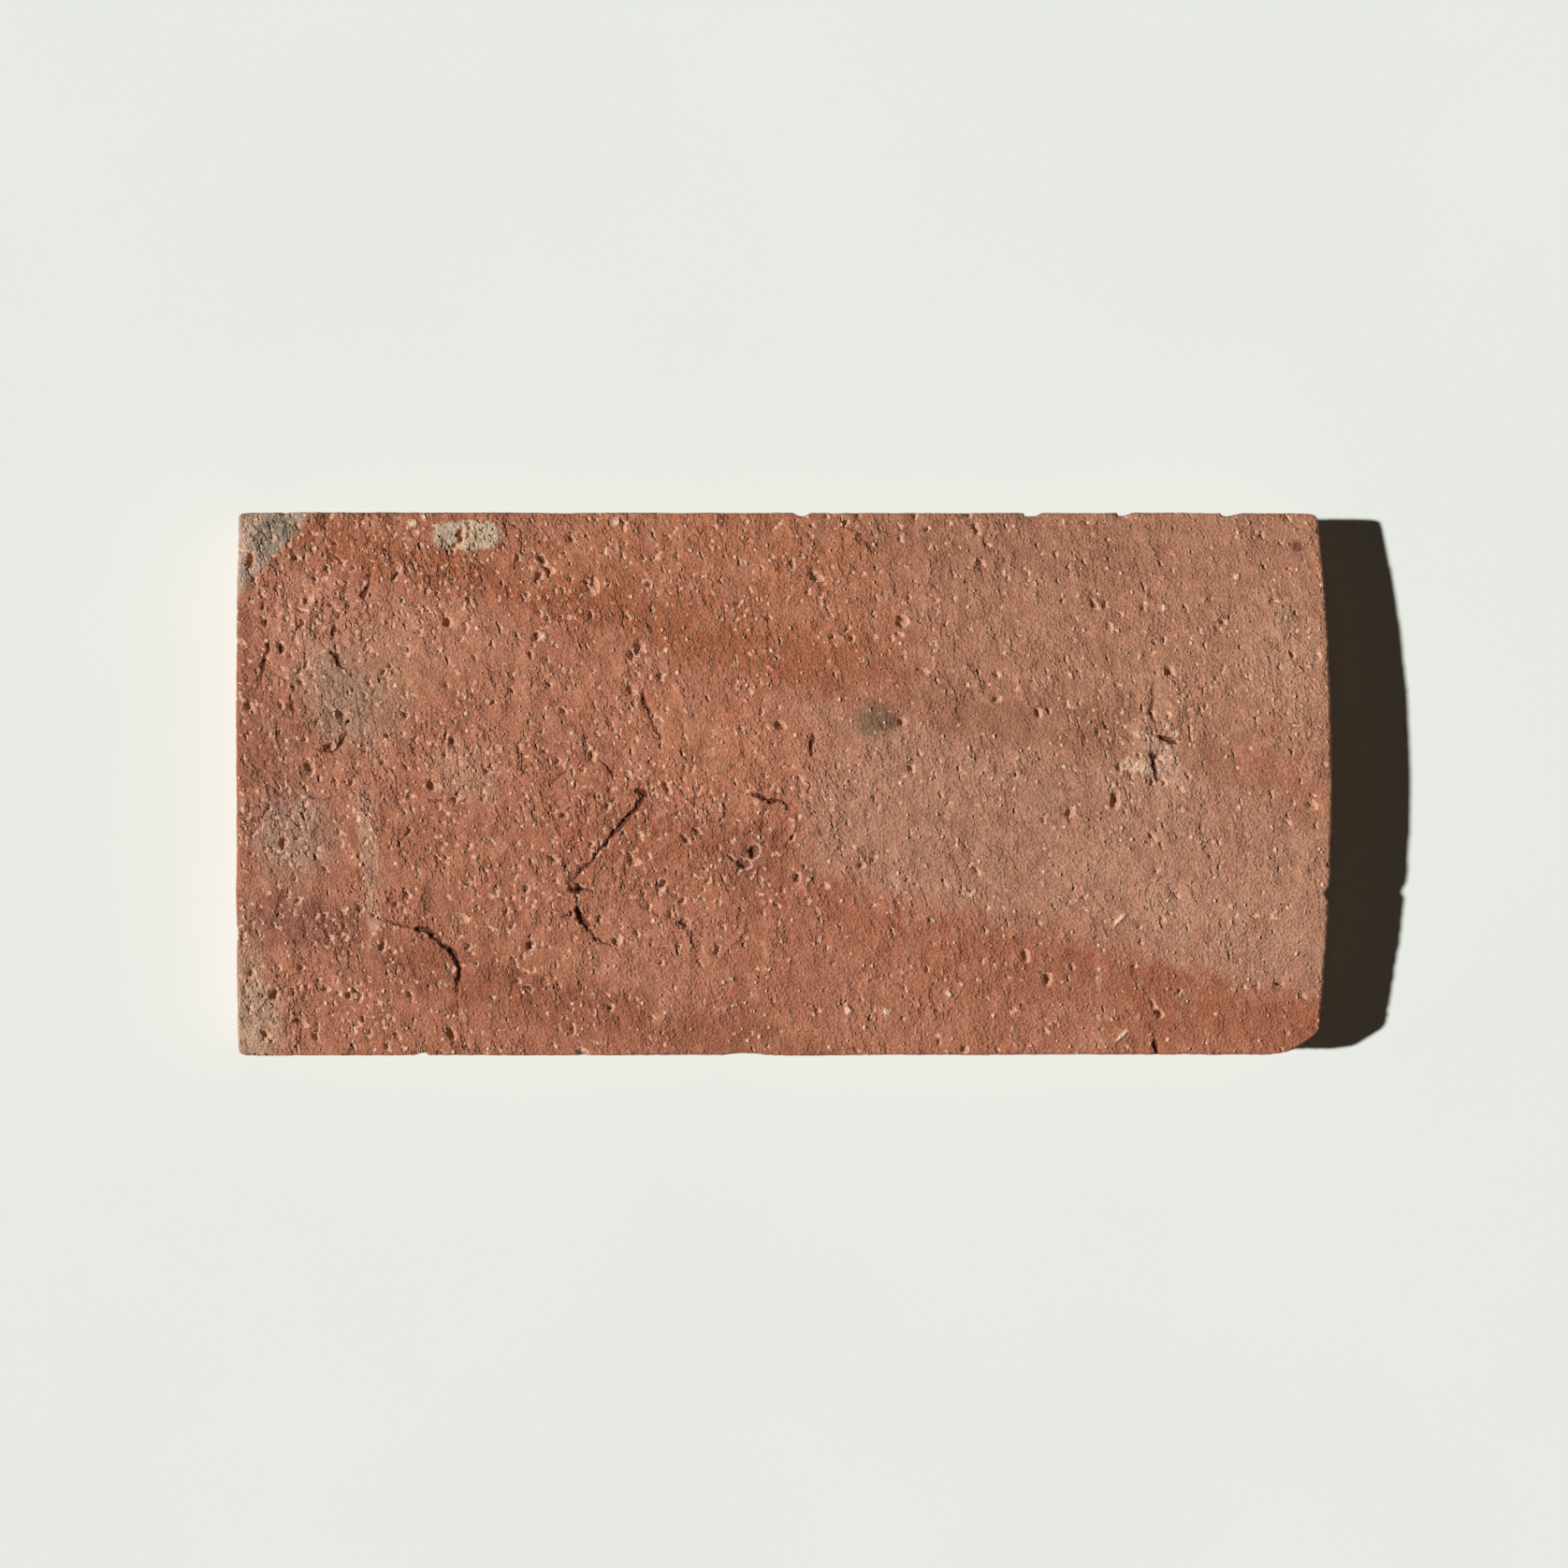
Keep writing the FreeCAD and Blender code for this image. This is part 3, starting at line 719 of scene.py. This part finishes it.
def marks_group():
    """Small marks strewn in the clay, such as pinholes and grains, as a mask full in their middles."""
    group = bpy.data.node_groups.new("clay_marks", "ShaderNodeTree")
    sockets = (
        ("Place", "NodeSocketVector"),
        ("Closeness", "NodeSocketFloat"),
        ("Share", "NodeSocketFloat"),
        ("Size", "NodeSocketFloat"),
    )
    for name, kind in sockets:
        group.interface.new_socket(name, in_out="INPUT", socket_type=kind)
    group.interface.new_socket("Mask", in_out="OUTPUT", socket_type="NodeSocketFloat")
    given = node(group, "NodeGroupInput").outputs
    cell_inputs = {"Vector": given["Place"], "Scale": given["Closeness"]}
    cells = node(group, "ShaderNodeTexVoronoi", cell_inputs).outputs
    draws = node(group, "ShaderNodeSeparateColor", {0: cells["Color"]}).outputs
    swell = sums(group, "MULTIPLY_ADD", draws[0], 0.7, 0.3)
    radius = sums(group, "MULTIPLY", swell, given["Size"])
    core = sums(group, "MULTIPLY", radius, 0.1)
    mark = ranged(group, cells["Distance"], radius, core)
    present = sums(group, "LESS_THAN", draws[1], given["Share"])
    node(group, "NodeGroupOutput", {"Mask": sums(group, "MULTIPLY", mark, present)})
    return group


# Lines along the face that the bands from the kiln follow: place along the tile and place across it
UPPER_LINE = (
    (-150, 72), (-133, 68), (-98, 57), (-66, 49.5), (-41, 44), (-18, 38), (1.5, 32), (21, 28.5),
    (39, 23.5), (64, 18), (89, 15), (114, 10), (138, 0), (150, -6),
)
LOWER_LINE = (
    (-150, -8), (-60, -8), (-40, -6.5), (-20, -9), (-8, -12), (1.5, -22), (14, -27), (26, -32.5),
    (41, -35.5), (59, -40.5), (76, -44), (91, -46.5), (111, -52.5), (126, -56.5), (150, -60.5),
)
LEFT_LINE = (
    (-150, -30.5), (-133, -30.5), (-120, -35.5), (-108, -40.5), (-91, -44), (-73, -50), (-48, -55.5),
    (-23, -63), (1.5, -68), (16, -71.5), (150, -75),
)

# How strong each band is: place along the tile and strength
UPPER_RED = ((-150, 0.75), (-120, 0.85), (-98, 0.9), (-41, 1), (1.5, 1), (20, 0.75), (44, 0), (150, 0))
UPPER_GREY = ((-150, 0), (8, 0), (36, 0.8), (64, 1), (95, 1), (116, 0.6), (150, 0.3))
LOWER_RED = (
    (-150, 0), (-76, 0), (-48, 0.7), (-20, 0.9), (0, 0.85), (40, 0.75), (76, 0.9), (111, 1), (150, 1),
)
LEFT_RED = (
    (-150, 0.8), (-125, 0.9), (-108, 1), (-80, 1), (-48, 0.95), (-10, 0.85), (16, 0.5), (34, 0), (150, 0),
)
WARM_SPAN = ((-150, 0), (-90, 0), (-50, 0.8), (10, 1), (20, 0.9), (46, 0), (150, 0))
GREY_SPAN = ((-150, 0), (-16, 0), (2, 0.5), (22, 1), (150, 1))
TOP_SPAN = ((-150, 0), (-4, 0), (28, 0.45), (70, 1), (150, 1))

# The lines by name
KILN_LINES = {"upper": UPPER_LINE, "lower": LOWER_LINE, "left": LEFT_LINE}

# Bands and blotches from the kiln: the line followed, the span, the edges across it from below to above, the
# strength and the colour
BANDS = (
    ("upper", WARM_SPAN, (-4.0, 5.0, 200.0, 220.0), 0.75, (0.395, 0.150, 0.078)),
    ("upper", TOP_SPAN, (-2.0, 10.0, 200.0, 220.0), 0.8, (0.390, 0.192, 0.118)),
    ("upper", GREY_SPAN, (-220.0, -200.0, -15.0, 2.0), 0.88, (0.400, 0.203, 0.132)),
    ("upper", UPPER_RED, (-9.0, -3.0, 2.0, 17.0), 0.9, (0.322, 0.106, 0.050)),
    ("upper", UPPER_GREY, (-11.0, -3.0, 2.0, 13.0), 0.85, (0.312, 0.145, 0.086)),
    ("lower", LOWER_RED, (-24.0, -8.0, -4.0, 4.0), 0.85, (0.325, 0.112, 0.060)),
    ("left", LEFT_RED, (-18.0, -8.0, -3.0, 3.0), 0.9, (0.298, 0.104, 0.058)),
)
GREY_LOWER_EDGE = (-5.0, 10.0)

# Colours of the clay: its body, its bed, its broad patches, its small marks, the painted shade of its lows,
# pits and cracks, and the pale clay with painted highlight of its highs and pit walls
BODY_DARK = (0.360, 0.134, 0.076)
BODY_LIGHT = (0.410, 0.166, 0.098)
BED_DARK = (0.370, 0.165, 0.102)
BED_LIGHT = (0.420, 0.222, 0.150)
PATCH_DARK = (0.335, 0.125, 0.068)
PATCH_LIGHT = (0.450, 0.205, 0.130)
# Painted shade for the low parts of the small lumps
PAINTED_LOW_SHADE = (0.250, 0.072, 0.032)
# Partly worn clay, partly painted highlight, for the high parts of the small lumps
WORN_CLAY_AND_HIGHLIGHT = (0.600, 0.340, 0.240)
# Partly fresh clay, partly painted highlight, for the walls of pits and pinholes
FRESH_CLAY_AND_HIGHLIGHT = (0.720, 0.435, 0.295)
# Painted shade for the floors of pits and pinholes
PAINTED_PIT_SHADE = (0.200, 0.054, 0.024)
# Painted shade for the floors of the larger holes and of the cracks
PAINTED_CRACK_SHADE = (0.110, 0.032, 0.018)
PALE_GRAIN = (0.780, 0.500, 0.340)
PALE_GRIT = (0.780, 0.580, 0.430)

# Floor, lamp and camera: angles in degrees and lengths in metres
FLOOR_DARK = (0.770, 0.815, 0.785)
FLOOR_LIGHT = (0.800, 0.838, 0.806)
FLOOR_REACH = 8.0
LAMP_STRENGTH = 4.17
LAMP_SPREAD = 2.0
LAMP_CLIMB = 48.0
LAMP_COLOUR = (1.0, 0.985, 0.965)
FILL_COLOUR = (1.0, 0.88, 0.66, 1.0)
FILL_STRENGTH = 0.028
BACKGROUND_COLOUR = (0.79, 0.83, 0.80, 1.0)
CAMERA_HEIGHT = 1.10
CAMERA_ANGLE = 22.6

# Stains of the face: middle, reach, turn in degrees, softness, strength and colour
STAINS = (
    ((-20, 12), (30, 15), -15, 0.7, 0.6, (0.470, 0.188, 0.104)),
    ((-128, 42), (18, 13), -10, 0.6, 0.7, (0.455, 0.205, 0.132)),
    ((-92, 40), (36, 11), -14, 0.6, 0.5, (0.445, 0.195, 0.122)),
    ((-88, 3), (10, 7), 0, 0.5, 0.6, (0.455, 0.220, 0.138)),
    ((-103, 33), (12, 13), 0, 0.7, 0.6, (0.435, 0.208, 0.124)),
    ((84, -21), (10, 6), -10, 0.7, 0.6, (0.500, 0.262, 0.165)),
    ((106, -32), (13, 6), -10, 0.7, 0.65, (0.500, 0.262, 0.165)),
    ((126, -40), (26, 12), -10, 0.6, 0.6, (0.430, 0.222, 0.142)),
    ((60, 66), (50, 8), -4, 0.6, 0.6, (0.325, 0.146, 0.086)),
    ((136, 34), (12, 16), 0, 0.6, 0.5, (0.470, 0.262, 0.160)),
    ((141, 2), (10, 6), -30, 0.6, 0.5, (0.400, 0.155, 0.095)),
    ((-124, 27), (9, 11), 10, 0.8, 0.75, (0.325, 0.205, 0.142)),
    ((-115, 19), (10, 10), -20, 0.8, 0.7, (0.325, 0.200, 0.138)),
    ((-134, -13), (11, 11), 0, 0.8, 0.85, (0.375, 0.235, 0.175)),
    ((-52, -14), (26, 12), -10, 0.7, 0.5, (0.360, 0.126, 0.072)),
    ((-113, -22), (2.6, 20), 3, 0.6, 0.65, (0.480, 0.260, 0.172)),
    ((-139, 9), (9, 13), 0, 0.8, 0.75, (0.270, 0.108, 0.074)),
    ((-147, 20), (4, 34), 0, 0.7, 0.75, (0.290, 0.112, 0.070)),
    ((-134, -37), (18, 7), -4, 0.8, 0.65, (0.262, 0.110, 0.077)),
    ((-147, -54), (6, 18), 0, 0.6, 0.6, (0.400, 0.255, 0.178)),
    ((-133.2, 61), (11, 2.5), 49, 0.6, 0.5, (0.300, 0.115, 0.070)),
    ((101, 10), (9, 17), 0, 0.7, 0.5, (0.470, 0.258, 0.165)),
    ((-11, -20), (8, 6), 0, 0.7, 0.6, (0.225, 0.088, 0.054)),
    ((25, 18.5), (5.0, 3.8), -20, 0.5, 1.0, (0.190, 0.112, 0.070)),
)

# Patches with a firmer edge, laid over the stains: the same, with how square they are before the strength
DEPOSITS = (
    ((-147, -66), (10, 11), 0, 0.45, 0.0, 0.8, (0.425, 0.290, 0.197)),
    ((-113.5, -11), (2.4, 9.5), 2, 0.3, 1.0, 0.45, (0.470, 0.275, 0.190)),
    ((-112.6, -31), (1.6, 11), 4, 0.4, 0.6, 0.45, (0.480, 0.275, 0.185)),
    ((-84, -1.5), (7, 4.5), -10, 0.3, 0.3, 0.4, (0.470, 0.240, 0.155)),
    ((-90, 6), (6, 3), 0, 0.35, 0.3, 0.4, (0.470, 0.240, 0.155)),
    ((-152.4, 78), (20, 20), 49.2, 0.05, 1.0, 0.92, (0.370, 0.285, 0.210)),
    ((-138.5, 69.5), (6, 4.5), 49, 0.6, 0.0, 0.75, (0.215, 0.190, 0.140)),
    ((-150, 65), (4.5, 10), 0, 0.5, 0.0, 0.7, (0.450, 0.300, 0.240)),
    ((-86.8, 68), (9.3, 4.1), 0, 0.09, 0.4, 0.95, (0.480, 0.385, 0.265)),
    ((140.5, 65.2), (1.6, 1.5), 0, 0.3, 0.0, 0.9, (0.180, 0.060, 0.040)),
    ((104, 5.5), (4.2, 6.0), 10, 0.45, 0.3, 0.6, (0.520, 0.330, 0.250)),
    ((96.5, 4.3), (4.2, 1.5), -8, 0.45, 0.2, 0.75, (0.660, 0.460, 0.340)),
    ((98.5, 13.6), (4.5, 0.8), -5, 0.5, 0.2, 0.6, (0.600, 0.400, 0.300)),
)


def drawn_line(tree, along, points, low, high):
    """A number that follows points drawn along the tile, between a low and a high value."""
    made = node(tree, "ShaderNodeFloatCurve", {"Value": along})
    line = made.mapping.curves[0]
    spots = [(place / FACE_LENGTH + 0.5, (value - low) / (high - low)) for place, value in points]
    for spot in spots[1:-1]:
        line.points.new(*spot)
    line.points[0].location = spots[0]
    line.points[len(spots) - 1].location = spots[-1]
    for point in line.points:
        point.handle_type = "AUTO_CLAMPED"
    made.mapping.update()
    return sums(tree, "MULTIPLY_ADD", made.outputs[0], high - low, low)


def banded(tree, along, across, span, edges):
    """A band at a distance across the face: full between its inner edges, and as strong as its span gives."""
    bottom_outer, bottom_inner, top_inner, top_outer = edges
    from_below = ranged(tree, across, bottom_outer, bottom_inner)
    from_above = ranged(tree, across, top_outer, top_inner)
    mask = sums(tree, "MULTIPLY", from_below, from_above)
    return sums(tree, "MULTIPLY", mask, drawn_line(tree, along, span, 0.0, 1.0))


def kiln_bands(tree, place, drifted, colour):
    """The clay's colour with the broad bands and blotches that the kiln left, from one end to the other."""
    height = node(tree, "ShaderNodeSeparateXYZ", {0: place}).outputs[1]
    sideways = node(tree, "ShaderNodeSeparateXYZ", {0: drifted}).outputs[0]
    along = sums(tree, "MULTIPLY_ADD", sideways, 1.0 / FACE_LENGTH, 0.5)
    across = {}
    for name, points in KILN_LINES.items():
        line = drawn_line(tree, along, points, -FACE_WIDTH / 2.0, FACE_WIDTH / 2.0)
        across[name] = sums(tree, "SUBTRACT", height, line)
    for name, span, edges, strength, tint in BANDS:
        band = banded(tree, along, across[name], span, edges)
        if span is GREY_SPAN:
            band = sums(tree, "MULTIPLY", band, ranged(tree, across["lower"], *GREY_LOWER_EDGE))
        colour = mixed(tree, sums(tree, "MULTIPLY", band, strength), colour, tint)
    return colour


def stained(tree, group, place, colour, stains):
    """A colour with each stain laid over it in turn."""
    for middle, reach, turn, softness, *squareness, strength, tint in stains:
        inputs = {
            "Place": place,
            "Middle": (*middle, 0.0),
            "Reach": (*reach, 1000.0),
            "Turn": (0.0, 0.0, math.radians(turn)),
            "Inner": 1.0 - softness,
            "Outer": 1.0 + softness,
            "Squareness": squareness[0] if squareness else 0.0,
            "Strength": strength,
        }
        colour = mixed(tree, placed(tree, group, inputs), colour, tint)
    return colour


def centred(tree, colour):
    """A noise's colour as a swing to either side of nothing."""
    return node(tree, "ShaderNodeVectorMath", {0: colour, 1: (-0.5,) * 3}, operation="ADD").outputs[0]


def moved(tree, place, swing, reach):
    """A place moved by a swing, over a reach in millimetres."""
    inputs = {0: swing, 1: reach, 2: place}
    return node(tree, "ShaderNodeVectorMath", inputs, operation="MULTIPLY_ADD").outputs[0]


def kept(tree, name):
    """What the mesh keeps at each point under a name."""
    return node(tree, "ShaderNodeAttribute", attribute_name=name).outputs["Fac"]


def stronger(tree, first, second):
    """The stronger of two masks."""
    return sums(tree, "MAXIMUM", first, second)


def fired_colour(tree, place):
    """The clay's colour as the kiln and the years left it: bands, blotches, stains, crusts and patches."""
    group = stain_group()
    broad = noise(tree, place, 22.0, detail=3.0, roughness=0.6).outputs["Color"]
    fine = noise(tree, place, 3.0, detail=3.0, roughness=0.65).outputs
    broad_swing = centred(tree, broad)
    fine_swing = centred(tree, fine["Color"])
    warped = moved(tree, place, broad_swing, (10.0, 10.0, 0.0))
    ragged = moved(tree, warped, fine_swing, (6.0, 6.0, 0.0))
    drifted = moved(tree, ragged, broad_swing, (34.0, 34.0, 0.0))
    firm = moved(tree, place, fine_swing, (2.2, 2.2, 0.0))

    clouds = noise(tree, place, 30.0, detail=2.0, roughness=0.6).outputs["Fac"]
    colour = mixed(tree, ranged(tree, clouds, 0.3, 0.7), BODY_DARK, BODY_LIGHT)
    colour = kiln_bands(tree, ragged, drifted, colour)
    colour = stained(tree, group, ragged, colour, STAINS)

    # The crusts lie on the face and fade below its arris, and the sides turn into the colour of the bed
    level = node(tree, "ShaderNodeSeparateXYZ", {0: place}).outputs[2]
    ragged_level = sums(tree, "MULTIPLY_ADD", fine["Fac"], 12.0, level)
    crusted = stained(tree, group, firm, colour, DEPOSITS)
    colour = mixed(tree, ranged(tree, ragged_level, 18.0, 28.0), colour, crusted)
    bedding = mixed(tree, ranged(tree, clouds, 0.35, 0.65), BED_DARK, BED_LIGHT)
    colour = mixed(tree, ranged(tree, level, 2.0, 9.0), bedding, colour)

    patches = noise(tree, warped, 11.0, detail=3.0, roughness=0.6).outputs["Fac"]
    colour = mixed(tree, ranged(tree, patches, 0.5, 0.78, 0.0, 0.55), colour, PATCH_LIGHT)
    return mixed(tree, ranged(tree, patches, 0.48, 0.22, 0.0, 0.5), colour, PATCH_DARK)


def small_marks(tree, place):
    """The small marks of the clay: its lumps, pinholes, grains and pale points, and where it is rough."""
    drag_inputs = {
        "Vector": place,
        "Rotation": (0.0, 0.0, math.radians(DRAG_TURN)),
        "Scale": (1.0 / DRAG_STRETCH, 1.0, 1.0),
    }
    dragged = node(tree, "ShaderNodeMapping", drag_inputs, vector_type="TEXTURE").outputs[0]
    crumble = centred(tree, noise(tree, place, 1.1, detail=0.0).outputs["Color"])
    torn = moved(tree, dragged, crumble, (0.9, 0.9, 0.9))

    group = marks_group()
    rough = kept(tree, "rough")
    pinhole_share = sums(tree, "MULTIPLY_ADD", rough, 0.5, 0.16)
    pinholes = {"Place": torn, "Closeness": 1.0 / 2.2, "Share": pinhole_share, "Size": 0.44}
    grains = {"Place": place, "Closeness": 1.0 / 2.1, "Share": 0.5, "Size": 0.33}
    points = {"Place": place, "Closeness": 1.0 / 3.2, "Share": 0.55, "Size": 0.29}
    return {
        "rough": rough,
        "lumpy": noise(tree, torn, 2.2, detail=2.0, roughness=0.65).outputs["Fac"],
        "pinholes": placed(tree, group, pinholes),
        "grains": placed(tree, group, grains),
        "points": placed(tree, group, points),
    }


def marked_colour(tree, colour, marks):
    """The clay's colour with its small marks: painted shade in the lows of the lumps and on the floors of
    pits, holes and cracks, fresh clay with painted highlight on the highs and the pit walls, and pale grains
    and grits.
    """
    pit = kept(tree, "pit")
    grit = kept(tree, "grit")
    # Painted shade in the low parts of the small lumps
    colour = mixed(tree, ranged(tree, marks["lumpy"], 0.48, 0.28, 0.0, 0.3), colour, PAINTED_LOW_SHADE)
    # Partly worn clay, partly painted highlight, on the high parts of the small lumps
    colour = mixed(tree, ranged(tree, marks["lumpy"], 0.54, 0.74, 0.0, 0.35), colour, WORN_CLAY_AND_HIGHLIGHT)

    # Partly fresh clay, partly painted highlight, on the walls of pits and pinholes
    highlit_pit_walls = ranged(tree, pit, 0.05, 0.25, 0.0, 0.7)
    highlit_pinhole_walls = ranged(tree, marks["pinholes"], 0.0, 0.4, 0.0, 0.65)
    colour = mixed(tree, stronger(tree, highlit_pit_walls, highlit_pinhole_walls), colour, FRESH_CLAY_AND_HIGHLIGHT)
    # Painted shade on the floors of pits and pinholes
    shaded_pit_floors = ranged(tree, pit, 0.6, 1.2, 0.0, 0.35)
    shaded_pinhole_floors = ranged(tree, marks["pinholes"], 0.7, 1.0, 0.0, 0.3)
    colour = mixed(tree, stronger(tree, shaded_pit_floors, shaded_pinhole_floors), colour, PAINTED_PIT_SHADE)
    # Painted shade on the floors of the larger holes and of the cracks
    shaded_hole_floors = ranged(tree, kept(tree, "hole"), 0.7, 1.2, 0.0, 0.7)
    shaded_crack_floors = ranged(tree, kept(tree, "crack"), 0.3, 0.65, 0.0, 0.9)
    colour = mixed(tree, stronger(tree, shaded_hole_floors, shaded_crack_floors), colour, PAINTED_CRACK_SHADE)

    raised = ranged(tree, grit, 0.08, 0.3, 0.0, 0.5)
    raised = stronger(tree, raised, ranged(tree, marks["grains"], 0.0, 0.5, 0.0, 0.6))
    raised = stronger(tree, raised, ranged(tree, marks["points"], 0.0, 0.4, 0.0, 0.95))
    colour = mixed(tree, raised, colour, PALE_GRAIN)
    return mixed(tree, ranged(tree, grit, 0.5, 0.7, 0.0, 0.85), colour, PALE_GRIT)


def fine_relief(tree, place, marks):
    """Relief too fine for the mesh: lumps, crumbs where the face is rough, sand and small marks."""
    sandy = noise(tree, place, 0.65, detail=0.0).outputs["Fac"]
    stretches = noise(tree, place, 13.0, detail=1.0).outputs["Fac"]
    height = sums(tree, "MULTIPLY", marks["lumpy"], ranged(tree, stretches, 0.36, 0.62, 0.3, 1.0))
    raised = ranged(tree, marks["lumpy"], 0.55, 0.66, 0.0, 0.4)
    sunken = ranged(tree, marks["lumpy"], 0.43, 0.33, 0.0, 0.45)
    crumbs = sums(tree, "SUBTRACT", raised, sunken)
    crumbly = sums(tree, "MULTIPLY_ADD", marks["rough"], 0.8, 0.1)
    crumbly = sums(tree, "MULTIPLY", crumbly, ranged(tree, stretches, 0.42, 0.62))
    height = sums(tree, "MULTIPLY_ADD", crumbs, crumbly, height)
    height = sums(tree, "MULTIPLY_ADD", sandy, 0.38, height)
    height = sums(tree, "MULTIPLY_ADD", marks["pinholes"], -0.85, height)
    return sums(tree, "MULTIPLY_ADD", stronger(tree, marks["grains"], marks["points"]), 0.6, height)


def terracotta():
    """Unglazed red clay: banded by the fire, stained, gritty, and matte."""
    material = bpy.data.materials.new("terracotta")
    material.use_nodes = True
    tree = material.node_tree
    shader = tree.nodes["Principled BSDF"]
    coordinates = node(tree, "ShaderNodeTexCoord").outputs["Object"]
    to_millimetres = {0: coordinates, 1: (1.0 / MM,) * 3}
    place = node(tree, "ShaderNodeVectorMath", to_millimetres, operation="MULTIPLY").outputs[0]

    mottle = noise(tree, place, 4.0, detail=4.0, roughness=0.7).outputs["Fac"]
    grain = noise(tree, place, 0.6, detail=0.0).outputs["Fac"]
    light = ranged(tree, mottle, 0.25, 0.75, 0.87, 1.13)
    light = sums(tree, "MULTIPLY", light, ranged(tree, grain, 0.25, 0.75, 0.86, 1.24))
    shade = node(tree, "ShaderNodeCombineColor", {0: light, 1: light, 2: light}).outputs[0]
    colour = mixed(tree, 1.0, fired_colour(tree, place), shade, "MULTIPLY")
    marks = small_marks(tree, place)
    tree.links.new(marked_colour(tree, colour, marks), shader.inputs["Base Color"])
    tree.links.new(ranged(tree, mottle, 0.2, 0.8, 0.82, 0.97), shader.inputs["Roughness"])
    shader.inputs["Specular IOR Level"].default_value = 0.15
    bump_inputs = {"Height": fine_relief(tree, place, marks), "Strength": 1.0, "Distance": MM}
    tree.links.new(node(tree, "ShaderNodeBump", bump_inputs).outputs["Normal"], shader.inputs["Normal"])
    return material


def pale_floor():
    """A plain pale floor with the faintest unevenness, under the tile."""
    material = bpy.data.materials.new("pale_floor")
    material.use_nodes = True
    tree = material.node_tree
    shader = tree.nodes["Principled BSDF"]
    coordinates = node(tree, "ShaderNodeTexCoord").outputs["Object"]
    cloud_inputs = {"Vector": coordinates, "Scale": 9.0, "Detail": 4.0}
    clouds = node(tree, "ShaderNodeTexNoise", cloud_inputs).outputs["Fac"]
    colour = mixed(tree, clouds, FLOOR_DARK, FLOOR_LIGHT)
    tree.links.new(colour, shader.inputs["Base Color"])
    shader.inputs["Roughness"].default_value = 0.95
    shader.inputs["Specular IOR Level"].default_value = 0.1
    shape = bmesh.new()
    bmesh.ops.create_grid(shape, x_segments=1, y_segments=1, size=FLOOR_REACH)
    mesh = bpy.data.meshes.new("floor")
    shape.to_mesh(mesh)
    shape.free()
    mesh.materials.append(material)
    floor = bpy.data.objects.new("floor", mesh)
    bpy.context.scene.collection.objects.link(floor)


def light_scene():
    """One low lamp from the left, as strong as daylight on paper, and a little light from all round."""
    lamp = bpy.data.lights.new("left_lamp", "SUN")
    lamp.energy = LAMP_STRENGTH
    lamp.angle = math.radians(LAMP_SPREAD)
    lamp.color = LAMP_COLOUR
    stand = bpy.data.objects.new("left_lamp", lamp)
    stand.rotation_euler = (0.0, -math.radians(90.0 - LAMP_CLIMB), 0.0)
    bpy.context.scene.collection.objects.link(stand)

    world = bpy.data.worlds.new("studio")
    world.use_nodes = True
    tree = world.node_tree
    tree.nodes.clear()
    rays = node(tree, "ShaderNodeLightPath").outputs
    seen = sums(tree, "MAXIMUM", rays["Is Camera Ray"], rays["Is Glossy Ray"])
    seen = sums(tree, "MAXIMUM", seen, rays["Is Transmission Ray"])
    fill_inputs = {"Color": FILL_COLOUR, "Strength": FILL_STRENGTH}
    fill = node(tree, "ShaderNodeBackground", fill_inputs).outputs[0]
    pale_inputs = {"Color": BACKGROUND_COLOUR, "Strength": 1.0}
    pale = node(tree, "ShaderNodeBackground", pale_inputs).outputs[0]
    both = node(tree, "ShaderNodeMixShader", {0: seen, 1: fill, 2: pale}).outputs[0]
    node(tree, "ShaderNodeOutputWorld", {"Surface": both})
    bpy.context.scene.world = world


def place_camera():
    """A camera straight above the tile, with the tile's length across the picture."""
    data = bpy.data.cameras.new("camera")
    data.sensor_width = 36.0
    data.angle = math.radians(CAMERA_ANGLE)
    data.clip_end = 50.0
    camera = bpy.data.objects.new("camera", data)
    camera.location = (0.0, 0.0, CAMERA_HEIGHT)
    bpy.context.scene.collection.objects.link(camera)
    bpy.context.scene.camera = camera


bpy.context.scene.view_settings.view_transform = "Standard"
make_tile(terracotta())
pale_floor()
light_scene()
place_camera()
